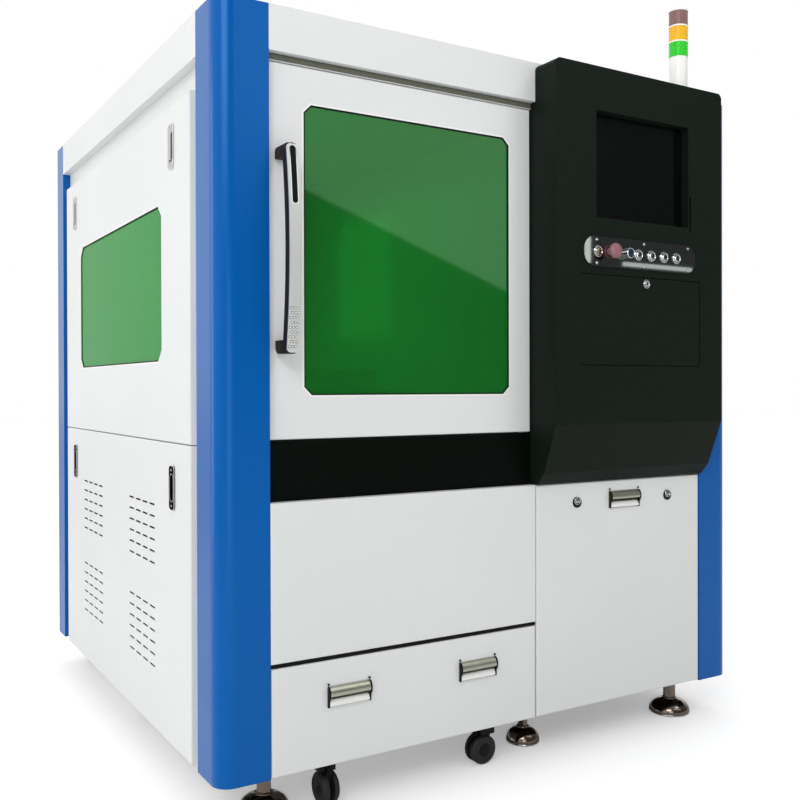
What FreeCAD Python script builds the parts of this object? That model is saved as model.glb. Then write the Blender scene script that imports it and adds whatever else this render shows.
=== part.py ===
import FreeCAD, Part
import math
import os

os.makedirs("parts", exist_ok=True)

V = FreeCAD.Vector

# Enclosed fiber laser cutting machine, lengths in millimetres.
# Working axes: x across the front from the left corner post, y into the machine
# from the front face of the posts, z up from the floor.  At the end every piece is
# moved so that the origin is the middle of the footprint, at floor level.

# ---------------------------------------------------------------- driving dimensions
WIDTH = 1646.0            # over the corner posts
DEPTH = 1650.0            # over the corner posts
TOP = 1852.0              # floor to the roof
UNDER = 112.0             # floor to the lower edge of the sheet metal

SHEET = 2.0               # folded sheet
SEAM = 2.0                # joint between neighbouring panels
FOLD_R = 4.0              # outside radius of a fold

POST_LEFT = 125.0         # front face of the left corner cover
POST_RIGHT = 130.0        # front face of the right corner cover
POST_SIDE = 130.0         # side face of a corner cover
POST_R = 42.0             # rounded outer corner
POST_SHEET = 3.0
SIDE_STEP = 24.4          # side and rear walls lie this far behind the covers
DOOR_STEP = 19.5          # front door lies this far behind the covers

FASCIA = 103.0            # height of the roof's rim
HEADER = 18.0             # strip between door and roof rim
DOOR_BAY = 763.0          # opening between left cover and console
DRAWER_HIGH = 247.0
DRAWER_SLIT = 10.0
LOWER_HIGH = 364.0
BAND_HIGH = 139.0

TUBE = 60.0               # square frame tube
TUBE_WALL = 4.0
FRAME_SET = 30.0          # frame tubes behind the outer planes
PLATE = 8.0               # plates that take feet and casters
CABINET_FLOOR = 3.0

WINDOW_LEFT = 94.0        # door margins round the front window
WINDOW_RIGHT = 74.0
WINDOW_BELOW = 103.0
WINDOW_ABOVE = 85.0
WINDOW_CHAMFER = 19.0
GLAZING = 5.0
GLAZING_LAP = 12.0

CONSOLE_OUT = 82.7        # console proud of the covers
CONSOLE_DROP = 7.0        # its top under the roof top
CONSOLE_R = 16.0
CONSOLE_SHEET = 2.5
CONSOLE_LIP = 16.0
CHIN_HIGH = 160.0         # lower end of the face, where the chin slopes back
CHIN_OUT = 34.0           # the chin's lower corner
CHIN_LOW = 32.0

MONITOR_WIDE = 350.0
MONITOR_HIGH = 284.0
MONITOR_DROP = 117.0      # console top to monitor opening
MONITOR_RECESS = 26.0
MONITOR_THICK = 36.0
MONITOR_RIM = 12.0        # bezel seen round the screen

STRIP_WIDE = 423.0
STRIP_HIGH = 80.0
STRIP_DROP = 492.0        # console top to the strip's middle
STRIP_SHIFT = -10.5       # strip's middle from the console's middle
STRIP_THICK = 3.0
BEZEL_R = 14.5
BEZEL_PROUD = 3.0
CAP_R = 10.4
CAP_TRAVEL = 3.5
BUTTON_GAP = 0.3
STOP_R = 22.5
STOP_PROUD = 45.0
STOP_DOME = 12.0
STOP_COLLAR = 9.0
STOP_TRAVEL = 4.0
KEY_PROUD = 20.0

FLAP_WIDE = 449.0
FLAP_HIGH = 242.0
FLAP_DROP = 552.0         # console top to the flap's upper edge
FLAP_DEEP = 14.0
FLAP_GAP = 0.8
FLAP_PIN_R = 2.0
FLAP_PIN_IN = 6.0         # hinge pin behind the face and above the lower edge
FLAP_EAR = 6.0            # thickness of the ear that carries it

KEYBOARD_WIDE = 400.0
KEYBOARD_DEEP = 140.0
KEYBOARD_THICK = 12.0
KEY_ROWS = 6
KEY_PITCH = 20.5
KEY_HIGH = 5.0

HINGE_IN = 26.0           # the front door's pivots: in from its right edge,
HINGE_DEEP = 11.0         # behind its face
HINGE_PIN_R = 4.0
HINGE_PIN_UP = 12.0       # length of a pin inside the door

PULL_WIDE = 114.0         # recessed chrome pulls
PULL_HIGH = 48.0
PULL_DEEP = 17.0
PULL_RIM = 7.0
PULL_FLANGE = 3.0
PULL_WALL = 1.5
HOOD_OUT = 10.0           # the hood's lip in front of the flange
SIDE_PULL_LONG = 110.0    # recessed side pulls
SIDE_PULL_WIDE = 42.0
SIDE_PULL_R = 12.0
SIDE_PULL_PROUD = 2.5
SIDE_CUP_WIDE = 26.0
SIDE_CUP_LONG = 66.0
SIDE_CUP_DEEP = 18.0

SIDE_MARGIN = 45.0        # side panels stop this far from the front covers
SIDE_REAR = 55.0          # and this far from the rear ones
SIDE_TOP = 166.0          # roof top to the side panels' upper edge
SIDE_SEAM = 857.0         # joint between upper and lower side panel, above the floor
PORT_FRONT = 211.0        # side window margins from the panel's front edge, rear edge,
PORT_REAR = 211.0         # panel joint and panel top
PORT_BELOW = 203.0
PORT_ABOVE = 232.0

TOWER_R = 27.5
TOWER_FROM_RIGHT = 120.0  # console's right side to the tower light
LENS_HIGH = 41.0
LENS_RING = 4.0

PAD_R_LARGE = 59.0
PAD_R_SMALL = 45.0
PAD_CROWN = 36.0          # height of the domed pad
STUD_R = 13.0
NUT_TOP = 98.0            # upper end of the foot's long hexagon
WHEEL_R = 38.0
WHEEL_WIDE = 42.0         # over both wheels of a twin caster
WHEEL_GAP = 14.0          # between the two, where the caster's body stands
WHEEL_LIFT = 2.0          # the feet hold the wheels clear of the floor
TRAIL = 10.0              # swivel axis to wheel centre
AXLE_R = 4.0
AXLE_PLAY = 0.05
SPIGOT_R = 75.0
SPIGOT_OUT = 60.0
SPIGOT_FLANGE = 22.0      # width of its flange on the rear wall

# ---------------------------------------------------------------- worked-out places
ROOF_Z = TOP - FASCIA
DOOR_TOP = ROOF_Z - HEADER
DRAWER_TOP = UNDER + DRAWER_HIGH
LOWER_Z = DRAWER_TOP + DRAWER_SLIT
LOWER_TOP = LOWER_Z + LOWER_HIGH
BAND_TOP = LOWER_TOP + BAND_HIGH
CONSOLE_X0 = POST_LEFT + DOOR_BAY
CONSOLE_X1 = WIDTH - POST_RIGHT
CONSOLE_MID = (CONSOLE_X0 + CONSOLE_X1) / 2
CONSOLE_TOP = TOP - CONSOLE_DROP
CONSOLE_Y = -CONSOLE_OUT
CONSOLE_Z = LOWER_TOP + SEAM / 2
STRIP_X = CONSOLE_MID + STRIP_SHIFT
STRIP_Z = CONSOLE_TOP - STRIP_DROP
STRIP_Y = CONSOLE_Y - STRIP_THICK
FRAME_LOW = UNDER + PLATE
FRAME_X0 = FRAME_SET
FRAME_X1 = WIDTH - FRAME_SET
FRAME_Y0 = FRAME_SET
FRAME_Y1 = DEPTH - FRAME_SET
FRAME_TOP = TOP - FASCIA / 2
BED_TOP = LOWER_TOP
COLUMN_X = CONSOLE_X0 + SHEET
FRONT_EXTREME = STRIP_Y - STOP_PROUD
REAR_EXTREME = DEPTH + SPIGOT_OUT
CENTRE = V(-WIDTH / 2, -(FRONT_EXTREME + REAR_EXTREME) / 2, 0)

IN = V(0, 1, 0)           # away from the person at the front
UP = V(0, 0, 1)
ACROSS = V(1, 0, 0)


# ---------------------------------------------------------------- forming operations
def block(x0, x1, y0, y1, z0, z1):
    return Part.makeBox(x1 - x0, y1 - y0, z1 - z0, V(x0, y0, z0))


def rod(radius, length, foot, along):
    return Part.makeCylinder(radius, length, foot, along)


def ring(outer, inner, length, foot, along):
    return rod(outer, length, foot, along).cut(rod(inner, length, foot, along))


def edges_along(shape, direction):
    found = []
    for edge in shape.Edges:
        run = edge.Vertexes[-1].Point.sub(edge.Vertexes[0].Point)
        if run.Length > 0 and abs(run.normalize().dot(direction)) > 0.999:
            found.append(edge)
    return found


def edges_at_y(shape, y):
    return [edge for edge in shape.Edges
            if all(abs(vertex.Y - y) < 0.001 for vertex in edge.Vertexes)]


def profile(points):
    return Part.Face(Part.makePolygon(points + [points[0]]))


def rounded_block(x0, x1, y0, y1, z0, z1, radius, direction):
    solid = block(x0, x1, y0, y1, z0, z1)
    return solid.makeFillet(radius, edges_along(solid, direction))


def chamfered(x0, x1, z0, z1, y0, thick, cut_x, cut_z):
    """Sheet in the front plane with its four corners cut off."""
    points = [V(x0 + cut_x, y0, z0), V(x1 - cut_x, y0, z0), V(x1, y0, z0 + cut_z),
              V(x1, y0, z1 - cut_z), V(x1 - cut_x, y0, z1), V(x0 + cut_x, y0, z1),
              V(x0, y0, z1 - cut_z), V(x0, y0, z0 + cut_z)]
    return profile(points).extrude(IN * thick)


def tube_along(direction, x0, y0, z0, length):
    """Square frame tube from its lowest corner."""
    if direction == "x":
        outer = block(x0, x0 + length, y0, y0 + TUBE, z0, z0 + TUBE)
        bore = block(x0, x0 + length, y0 + TUBE_WALL, y0 + TUBE - TUBE_WALL,
                     z0 + TUBE_WALL, z0 + TUBE - TUBE_WALL)
    elif direction == "y":
        outer = block(x0, x0 + TUBE, y0, y0 + length, z0, z0 + TUBE)
        bore = block(x0 + TUBE_WALL, x0 + TUBE - TUBE_WALL, y0, y0 + length,
                     z0 + TUBE_WALL, z0 + TUBE - TUBE_WALL)
    else:
        outer = block(x0, x0 + TUBE, y0, y0 + TUBE, z0, z0 + length)
        bore = block(x0 + TUBE_WALL, x0 + TUBE - TUBE_WALL, y0 + TUBE_WALL,
                     y0 + TUBE - TUBE_WALL, z0, z0 + length)
    return outer.cut(bore)


def pan(x0, x1, z0, z1, y0, deep, lip):
    """Folded panel that faces the front: face, four returns, lips at the back."""
    outer = block(x0, x1, y0, y0 + deep, z0, z1)
    folds = edges_at_y(outer, y0)
    outer = outer.makeFillet(FOLD_R, folds)
    room = block(x0 + SHEET, x1 - SHEET, y0 + SHEET, y0 + deep - SHEET,
                 z0 + SHEET, z1 - SHEET)
    mouth = block(x0 + lip, x1 - lip, y0 + SHEET, y0 + deep, z0 + lip, z1 - lip)
    return outer.cut(room.fuse(mouth))


def dome(radius, rim_y, rise, steps):
    """Points of a round cap's section from its axis to its rim, facing the front."""
    sphere = (radius ** 2 + rise ** 2) / (2 * rise)
    centre = rim_y - rise + sphere
    half = math.asin(radius / sphere)
    return [V(sphere * math.sin(half * k / steps), centre - sphere * math.cos(half * k / steps), 0)
            for k in range(steps + 1)]


def on_left(shape):
    """Front layout laid on the left wall: its x becomes y and its y becomes x."""
    return shape.mirror(V(0, 0, 0), V(1, -1, 0))


def on_right(shape):
    return on_left(shape).mirror(V(WIDTH / 2, 0, 0), ACROSS)


def on_rear(shape):
    return shape.mirror(V(0, DEPTH / 2, 0), IN)


pieces = {}


def keep(name, *shapes):
    pieces[name] = Part.makeCompound(list(shapes)) if len(shapes) > 1 else shapes[0]


# ---------------------------------------------------------------- feet and casters
FOOT_LEFT_X = 150.0       # feet and casters from the covers' outer planes
FOOT_LEFT_Y = 100.0
FOOT_MIDDLE_Y = 127.0
FOOT_RIGHT_X = 163.0
FOOT_RIGHT_Y = 88.0
FOOT_SPOTS = {
    "foot_front_left": (FOOT_LEFT_X, FOOT_LEFT_Y, PAD_R_LARGE),
    "foot_front_middle": (CONSOLE_X0 + TUBE - SHEET - SEAM, FOOT_MIDDLE_Y, PAD_R_SMALL),
    "foot_front_right": (WIDTH - FOOT_RIGHT_X, FOOT_RIGHT_Y, PAD_R_LARGE),
    "foot_rear_left": (FOOT_LEFT_X, DEPTH - FOOT_LEFT_Y, PAD_R_LARGE),
    "foot_rear_right": (WIDTH - FOOT_RIGHT_X, DEPTH - FOOT_RIGHT_Y, PAD_R_LARGE),
}
FOOT_PLATE = 55.0         # half side of the plate over a foot
CASTER_PLATE = 40.0       # half side of the plate over a caster
CASTER_PLATE_THICK = 4.0
NECK = 43.0               # width of a caster's crown
NECK_HIGH = 10.0
SWIVEL_R = 16.0
CASTER_X = 292.0
CASTER_Y = 70.0
CASTER_FROM_CONSOLE = 126.0
CASTER_REAR_Y = 80.0
CASTER_SPOTS = [(CASTER_X, CASTER_Y), (CONSOLE_X0 - CASTER_FROM_CONSOLE, CASTER_Y - CASTER_PLATE_THICK)]
REAR_CASTER_SPOTS = [(CASTER_X, DEPTH - CASTER_REAR_Y), (WIDTH - CASTER_X, DEPTH - CASTER_REAR_Y)]
WHEEL_Z = WHEEL_R + WHEEL_LIFT


def foot(x, y, pad_r):
    """Turned pad, domed and undercut, with a long hexagon and the top of its stud."""
    hex_r = 0.31 * pad_r
    section = profile([V(0, 0, 0), V(0.88 * pad_r, 0, 0), V(pad_r, 0, 0.36 * PAD_CROWN),
                       V(0.72 * pad_r, 0, 0.8 * PAD_CROWN), V(1.2 * hex_r, 0, PAD_CROWN),
                       V(0, 0, PAD_CROWN)])
    pad = section.revolve(V(0, 0, 0), UP, 360)
    corners = [V(hex_r * math.cos(math.pi / 3 * k), hex_r * math.sin(math.pi / 3 * k), PAD_CROWN)
               for k in range(6)]
    nut = profile(corners).extrude(UP * (NUT_TOP - PAD_CROWN))
    stud = rod(STUD_R, UNDER + PLATE - NUT_TOP, V(0, 0, NUT_TOP), UP)
    solid = pad.fuse([nut, stud]).removeSplitter()
    solid.translate(V(x, y, 0))
    return solid


def within_frame(y):
    """Keeps a plate's edge between the front sheets and the rear wall."""
    return min(max(y, FRAME_Y0 - CASTER_PLATE_THICK), FRAME_Y1 + SHEET)


def support_plate(x, y, half, hole):
    plate = block(x - half, x + half, within_frame(y - half), within_frame(y + half),
                  UNDER, UNDER + PLATE)
    if hole:
        plate = plate.cut(rod(hole, PLATE, V(x, y, UNDER), UP))
    return plate


def wheel(x, y, rolls):
    """Twin wheels of one caster on their axle."""
    half = WHEEL_WIDE / 2
    inner = WHEEL_GAP / 2
    r = WHEEL_R
    round_off = 0.12 * WHEEL_R
    side = [V(0, 0, -half), V(0, r - round_off, -half), V(0, r, round_off - half),
            V(0, r, -inner), V(0, AXLE_R, -inner)]
    other = [V(0, point.y, -point.z) for point in reversed(side)]
    solid = profile(side + other).revolve(V(0, 0, 0), UP, 360)
    if rolls == "x":
        solid.rotate(V(0, 0, 0), ACROSS, 90)
    else:
        solid.rotate(V(0, 0, 0), IN, 90)
    solid.translate(V(x, y, WHEEL_Z))
    return solid


def fork(rolls, swivel):
    """Caster body: web between the wheels, broad neck over them, swivel or fixed top."""
    web = WHEEL_GAP / 2 - SHEET / 2
    top = UNDER - NECK_HIGH
    crown = WHEEL_Z + WHEEL_R + SHEET
    half = NECK / 2
    boss = 3 * AXLE_R
    side = profile([V(-half, -web, top), V(half, -web, top), V(half, -web, crown),
                    V(boss - TRAIL, -web, WHEEL_Z - boss), V(-boss - TRAIL, -web, WHEEL_Z - boss),
                    V(-half - TRAIL, -web, crown)])
    solid = side.extrude(IN * 2 * web)
    solid = solid.cut(rod(AXLE_R + AXLE_PLAY, 2 * web, V(-TRAIL, -web, WHEEL_Z), IN))
    solid = solid.fuse(block(-half, half, -WHEEL_WIDE / 2, WHEEL_WIDE / 2, crown, top))
    up = NECK_HIGH - CASTER_PLATE_THICK
    if swivel:
        solid = solid.fuse(rod(SWIVEL_R, up, V(0, 0, top), UP))
    else:
        solid = solid.fuse(block(-half, half, -half, half, top, top + up))
    solid = solid.removeSplitter()
    if rolls == "y":
        solid.rotate(V(0, 0, 0), UP, 90)
    return solid


def caster_plate(x, y):
    return block(x - CASTER_PLATE, x + CASTER_PLATE, within_frame(y - CASTER_PLATE),
                 within_frame(y + CASTER_PLATE), UNDER - CASTER_PLATE_THICK, UNDER)


def trailed_wheel(spot, rolls):
    x, y = spot
    return wheel(x - TRAIL, y, rolls) if rolls == "x" else wheel(x, y - TRAIL, rolls)


def build_feet_and_casters():
    for name, (x, y, pad_r) in FOOT_SPOTS.items():
        keep(name, foot(x, y, pad_r))
    mounts = [caster_plate(x, y) for x, y in CASTER_SPOTS]
    for x, y in REAR_CASTER_SPOTS:
        rear = fork("y", False)
        rear.translate(V(x, y, 0))
        mounts.append(rear.fuse(caster_plate(x, y)))
    keep("caster_mounts", *mounts)
    for name, spot, rolls in (("left", CASTER_SPOTS[0], "y"), ("right", CASTER_SPOTS[1], "x")):
        swivel = fork(rolls, True)
        swivel.translate(V(spot[0], spot[1], 0))
        keep("caster_fork_" + name, swivel)
        keep("wheel_front_" + name, trailed_wheel(spot, rolls))
    for name, spot in (("left", REAR_CASTER_SPOTS[0]), ("right", REAR_CASTER_SPOTS[1])):
        keep("wheel_rear_" + name, trailed_wheel(spot, "y"))


# ---------------------------------------------------------------- welded frame
TRAY_SIDE = 40.0          # tray this far inside the drawer front
TRAY_LONG = 900.0
TRAY_HIGH = 150.0
RUNNER_THICK = 5.0
BRACKET_WIDE = 40.0
CLEARING = 0.5            # working clearance of sliding and loose pieces


def build_frame():
    low = FRAME_LOW
    mid = BED_TOP - TUBE
    high = FRAME_TOP - TUBE
    solids = []
    for x in (FRAME_X0, FRAME_X1 - TUBE):
        for y in (FRAME_Y0, FRAME_Y1 - TUBE):
            solids.append(tube_along("z", x, y, low, FRAME_TOP - low))
    between_x = FRAME_X1 - FRAME_X0 - 2 * TUBE
    between_y = FRAME_Y1 - FRAME_Y0 - 2 * TUBE
    for z in (low, mid, high):
        for x in (FRAME_X0, FRAME_X1 - TUBE):
            solids.append(tube_along("y", x, FRAME_Y0 + TUBE, z, between_y))
        solids.append(tube_along("x", FRAME_X0 + TUBE, FRAME_Y1 - TUBE, z, between_x))
    left_run = COLUMN_X - FRAME_X0 - TUBE
    right_run = FRAME_X1 - TUBE - COLUMN_X - TUBE
    for z in (low, mid):
        solids.append(tube_along("x", FRAME_X0 + TUBE, FRAME_Y0, z, left_run))
        solids.append(tube_along("x", COLUMN_X + TUBE, FRAME_Y0, z, right_run))
    solids.append(tube_along("z", COLUMN_X, FRAME_Y0, low, high - low))
    solids.append(tube_along("x", FRAME_X0 + TUBE, FRAME_Y0, high, between_x))
    for z in (low, mid):
        solids.append(tube_along("y", COLUMN_X, FRAME_Y0 + TUBE, z, between_y))
    for x, y, _ in FOOT_SPOTS.values():
        solids.append(support_plate(x, y, FOOT_PLATE, STUD_R + AXLE_PLAY))
    for x, y in CASTER_SPOTS + REAR_CASTER_SPOTS:
        solids.append(support_plate(x, y, CASTER_PLATE, 0))
    floor = block(COLUMN_X + TUBE, FRAME_X1, FRAME_Y0, FRAME_Y1, low + TUBE,
                  low + TUBE + CABINET_FLOOR)
    floor = floor.cut(block(FRAME_X1 - TUBE, FRAME_X1, FRAME_Y0, FRAME_Y0 + TUBE, low, TOP))
    floor = floor.cut(block(FRAME_X1 - TUBE, FRAME_X1, FRAME_Y1 - TUBE, FRAME_Y1, low, TOP))
    solids.append(floor)
    keep("chassis_frame", *solids, *drawer_runners(), *gantry_rails())


def drawer_runners():
    """Angle each side of the tray, on two brackets that cross to the frame tubes."""
    z = FRAME_LOW + TUBE
    y0 = FRAME_Y0 + TUBE
    y1 = y0 + TRAY_LONG - 2 * TRAY_SIDE
    thick = RUNNER_THICK
    inner = POST_LEFT + TRAY_SIDE - CLEARING
    far = POST_LEFT + CONSOLE_X0 - inner
    left = block(inner - 4 * thick, inner + 3 * thick, y0, y1, z, z + thick)
    left = left.fuse(block(inner - thick, inner, y0, y1, z, z + TUBE))
    right = left.mirror(V((POST_LEFT + CONSOLE_X0) / 2, 0, 0), ACROSS)
    crossings = []
    for y in (y0 + TUBE / 2, y1 - TUBE - TUBE / 2):
        end = y + BRACKET_WIDE
        crossings.append(block(FRAME_X0 + TUBE / 2, inner - 4 * thick, y, end, z, z + thick))
        crossings.append(block(far + 4 * thick, COLUMN_X + TUBE / 2, y, end, z, z + thick))
    return [left, right] + crossings


# ---------------------------------------------------------------- covers and walls
def corner_cover(wide, front_step):
    """Front left cover: rounded folded sheet with two returns and a closed top."""
    def rounded(x0, x1, y0, y1, radius):
        solid = block(x0, x1, y0, y1, UNDER, TOP)
        corner = [e for e in edges_along(solid, UP)
                  if e.Vertexes[0].X < x0 + radius and e.Vertexes[0].Y < y0 + radius]
        return solid.makeFillet(radius, corner)

    outer = rounded(0, wide, 0, POST_SIDE, POST_R)
    inner = rounded(POST_SHEET, wide - POST_SHEET, POST_SHEET, POST_SIDE - POST_SHEET,
                    POST_R - POST_SHEET)
    inner.translate(V(0, 0, -POST_SHEET))
    open_back = block(SIDE_STEP, wide, front_step, POST_SIDE, UNDER, TOP - POST_SHEET)
    return outer.cut(inner).cut(open_back)


def build_covers():
    left = corner_cover(POST_LEFT, DOOR_STEP)
    right = corner_cover(POST_RIGHT, DOOR_STEP).mirror(V(WIDTH / 2, 0, 0), ACROSS)
    rear_left = on_rear(corner_cover(POST_LEFT, SIDE_STEP))
    rear_right = on_rear(corner_cover(POST_RIGHT, SIDE_STEP)).mirror(V(WIDTH / 2, 0, 0), ACROSS)
    keep("corner_posts", left, right, rear_left, rear_right)

    lip = SIDE_STEP + SHEET
    roof = block(0, WIDTH, 0, DEPTH, ROOF_Z, TOP)
    roof = roof.cut(block(SHEET, WIDTH - SHEET, SHEET, DEPTH - SHEET, ROOF_Z + SHEET, TOP - SHEET))
    roof = roof.cut(block(lip, WIDTH - lip, lip, DEPTH - lip, ROOF_Z, TOP - SHEET))
    for y0 in (0, DEPTH - POST_SIDE):
        roof = roof.cut(block(0, POST_LEFT, y0, y0 + POST_SIDE, ROOF_Z, TOP))
        roof = roof.cut(block(WIDTH - POST_RIGHT, WIDTH, y0, y0 + POST_SIDE, ROOF_Z, TOP))
    keep("roof_cover", roof)


SIDE_Y0 = POST_SIDE + SIDE_MARGIN
SIDE_Y1 = DEPTH - POST_SIDE - SIDE_REAR
SIDE_Z1 = TOP - SIDE_TOP
PORT = (SIDE_Y0 + PORT_FRONT, SIDE_Y1 - PORT_REAR, SIDE_SEAM + PORT_BELOW, SIDE_Z1 - PORT_ABOVE)
PORT_CUT = (30.0, 28.0)     # the port's cut corners, along and up
WALL_LAP = 20.0           # overlap of wall sheets behind covers and round openings
VENT_FRONT = 279.0        # the four fields of slots: from the panel's front edge,
VENT_REAR = 480.0         # from its rear edge,
VENT_LOW = 158.0          # and above its lower edge
VENT_UPPER = 425.0
VENT_COLUMNS = (SIDE_Y0 + VENT_FRONT, SIDE_Y1 - VENT_REAR)
VENT_ROWS = (UNDER + VENT_LOW, UNDER + VENT_UPPER)
VENT_PITCH_Y = 63.0
VENT_PITCH_Z = 30.4
VENT_LONG = 46.0
VENT_HIGH = 5.0
VENT_ACROSS = 4
VENT_UP = 6
REAR_X0 = 250.0
REAR_Z0 = LOWER_TOP
SPIGOT_X = 460.0
SPIGOT_UP = 300.0
SPIGOT_Z = UNDER + SPIGOT_UP
BAND_LIP = 14.0
LOWER_LIP = 24.0
DOOR_X0 = POST_LEFT + SEAM
DOOR_X1 = CONSOLE_X0 - SEAM - CLEARING
DOOR_Z0 = BAND_TOP + SEAM
DOOR_DEEP = 24.0
HINGE_X = DOOR_X1 - HINGE_IN
HINGE_Y = DOOR_STEP + HINGE_DEEP


def hinge_hole(z, through):
    return rod(HINGE_PIN_R + AXLE_PLAY, through, V(HINGE_X, HINGE_Y, z), UP)


def side_wall(with_port):
    lap = WALL_LAP
    wall = block(POST_SIDE - lap, DEPTH - POST_SIDE + lap, SIDE_STEP, SIDE_STEP + SHEET, UNDER, ROOF_Z)
    if with_port:
        y0, y1, z0, z1 = PORT
        wall = wall.cut(chamfered(y0 - lap, y1 + lap, z0 - lap, z1 + lap, SIDE_STEP, SHEET, *PORT_CUT))
    for y in VENT_COLUMNS:
        for z in VENT_ROWS:
            wide = (VENT_ACROSS - 1) * VENT_PITCH_Y + VENT_LONG
            high = (VENT_UP - 1) * VENT_PITCH_Z + VENT_HIGH
            wall = wall.cut(block(y - lap, y + wide + lap, SIDE_STEP, SIDE_STEP + SHEET,
                                  z - lap, z + high + lap))
    return wall


def build_walls():
    lap = WALL_LAP
    left = on_left(side_wall(True))
    right = on_right(side_wall(False))
    rear = block(POST_LEFT - lap, WIDTH - POST_RIGHT + lap, SIDE_STEP, SIDE_STEP + SHEET,
                 UNDER, ROOF_Z)
    seat = SIDE_STEP - PULL_FLANGE
    pipe = ring(SPIGOT_R, SPIGOT_R - SHEET, seat + SPIGOT_OUT,
                V(SPIGOT_X, -SPIGOT_OUT, SPIGOT_Z), IN)
    flange = ring(SPIGOT_R + SPIGOT_FLANGE, SPIGOT_R - SHEET, PULL_FLANGE,
                  V(SPIGOT_X, seat, SPIGOT_Z), IN)
    bore = rod(SPIGOT_R - SHEET, SHEET, V(SPIGOT_X, SIDE_STEP, SPIGOT_Z), IN)
    rear = on_rear(rear.cut(bore))
    spigot = on_rear(pipe.fuse(flange).removeSplitter())

    z0 = DOOR_TOP + SEAM
    header = block(POST_LEFT, CONSOLE_X0, DOOR_STEP, DOOR_STEP + SHEET, z0, ROOF_Z)
    fold = block(POST_LEFT, CONSOLE_X0, DOOR_STEP, DOOR_STEP + DOOR_DEEP, z0, z0 + SHEET)
    header = header.fuse(fold).cut(hinge_hole(z0, SHEET))

    bulkhead = block(CONSOLE_X0 + CONSOLE_SHEET, CONSOLE_X1, 0, SHEET, LOWER_TOP, ROOF_Z)

    deep = 2 * FRAME_SET
    top = FRAME_TOP - TUBE
    stop = block(POST_LEFT - SHEET, POST_LEFT, DOOR_STEP, deep, LOWER_TOP, top)
    stop_tail = block(FRAME_X0 + TUBE, POST_LEFT, deep - SHEET, deep, LOWER_TOP, top)
    stop = stop.fuse(stop_tail)

    partition = block(COLUMN_X + TUBE - SHEET, COLUMN_X + TUBE, FRAME_Y0 + TUBE, FRAME_Y1 - TUBE,
                      BED_TOP, FRAME_TOP - TUBE)
    keep("wall_skins", left, right, rear, spigot, header, bulkhead, stop, partition)


def build_front_sheets():
    band = pan(POST_LEFT, CONSOLE_X0 - SHEET, LOWER_TOP, BAND_TOP, DOOR_STEP,
               FRAME_SET - DOOR_STEP, BAND_LIP)
    band = band.cut(hinge_hole(BAND_TOP - BAND_LIP, BAND_LIP))
    keep("front_band", band)
    lower = pan(POST_LEFT, CONSOLE_X0, LOWER_Z, LOWER_TOP, 0, FRAME_SET, LOWER_LIP)
    keep("lower_front_panel", lower)


# ---------------------------------------------------------------- pulls and locks
def cup_pull(x, z, y):
    """Chrome recessed pull: pressed cup, hood over its upper half, bright lower lip."""
    wide = PULL_WIDE / 2
    high = PULL_HIGH / 2
    rim = PULL_RIM
    front = y - PULL_FLANGE
    flange = rounded_block(x - wide, x + wide, front, y, z - high, z + high, PULL_FLANGE, IN)
    body = flange.fuse(cup_cut(x, z, y, PULL_DEEP))
    body = body.cut(block(x - wide + rim, x + wide - rim, front, y + PULL_DEEP - PULL_WALL,
                          z - high + rim, z + high - rim))
    crest = V(0, front, z + high)
    swell = V(0, front - 0.9 * HOOD_OUT, z + 0.62 * high)
    lip = V(0, front - HOOD_OUT, z + 0.08 * high)
    inward = V(0, PULL_WALL, -PULL_WALL)
    under = V(0, front, z + high - PULL_FLANGE)
    section = Part.Wire([Part.Arc(crest, swell, lip).toShape(),
                         Part.makeLine(lip, lip + V(0, PULL_WALL, 0)),
                         Part.Arc(lip + V(0, PULL_WALL, 0), swell + inward, under).toShape(),
                         Part.makeLine(under, crest)])
    hood = Part.Face(section).extrude(ACROSS * (PULL_WIDE - 2 * PULL_FLANGE))
    hood.translate(V(x - wide + PULL_FLANGE, 0, 0))
    return body.fuse(hood).removeSplitter()


def cup_cut(x, z, y, deep):
    wide = PULL_WIDE / 2 - PULL_RIM + PULL_WALL
    high = PULL_HIGH / 2 - PULL_RIM + PULL_WALL
    return block(x - wide, x + wide, y, y + deep, z - high, z + high)


def side_pull(y, z, out, hooded):
    """Upright recessed pull, its face a little proud; a hooded one is half covered."""
    long = SIDE_PULL_LONG / 2
    wide = SIDE_PULL_WIDE / 2
    front = out - SIDE_PULL_PROUD
    flange = rounded_block(y - wide, y + wide, front, out, z - long, z + long, SIDE_PULL_R, IN)
    body = flange.fuse(side_pull_cut(y, z, out, SIDE_CUP_DEEP))
    room_y = SIDE_CUP_WIDE / 2 - PULL_WALL
    room_z = SIDE_CUP_LONG / 2 - PULL_WALL
    covered = y if hooded else y + room_y
    body = body.cut(block(y - room_y, covered, front, out, z - room_z, z + room_z))
    body = body.cut(block(y - room_y, y + room_y, out, out + SIDE_CUP_DEEP - PULL_WALL,
                          z - room_z, z + room_z))
    return body.removeSplitter()


def side_pull_cut(y, z, out, deep):
    wide = SIDE_CUP_WIDE / 2
    long = SIDE_CUP_LONG / 2
    return block(y - wide, y + wide, out, out + deep, z - long, z + long)


LOCK_BARREL_R = 8.0
LOCK_PROUD = 3.5
KEYWAY = 1.2              # half width of a key slot


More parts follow.
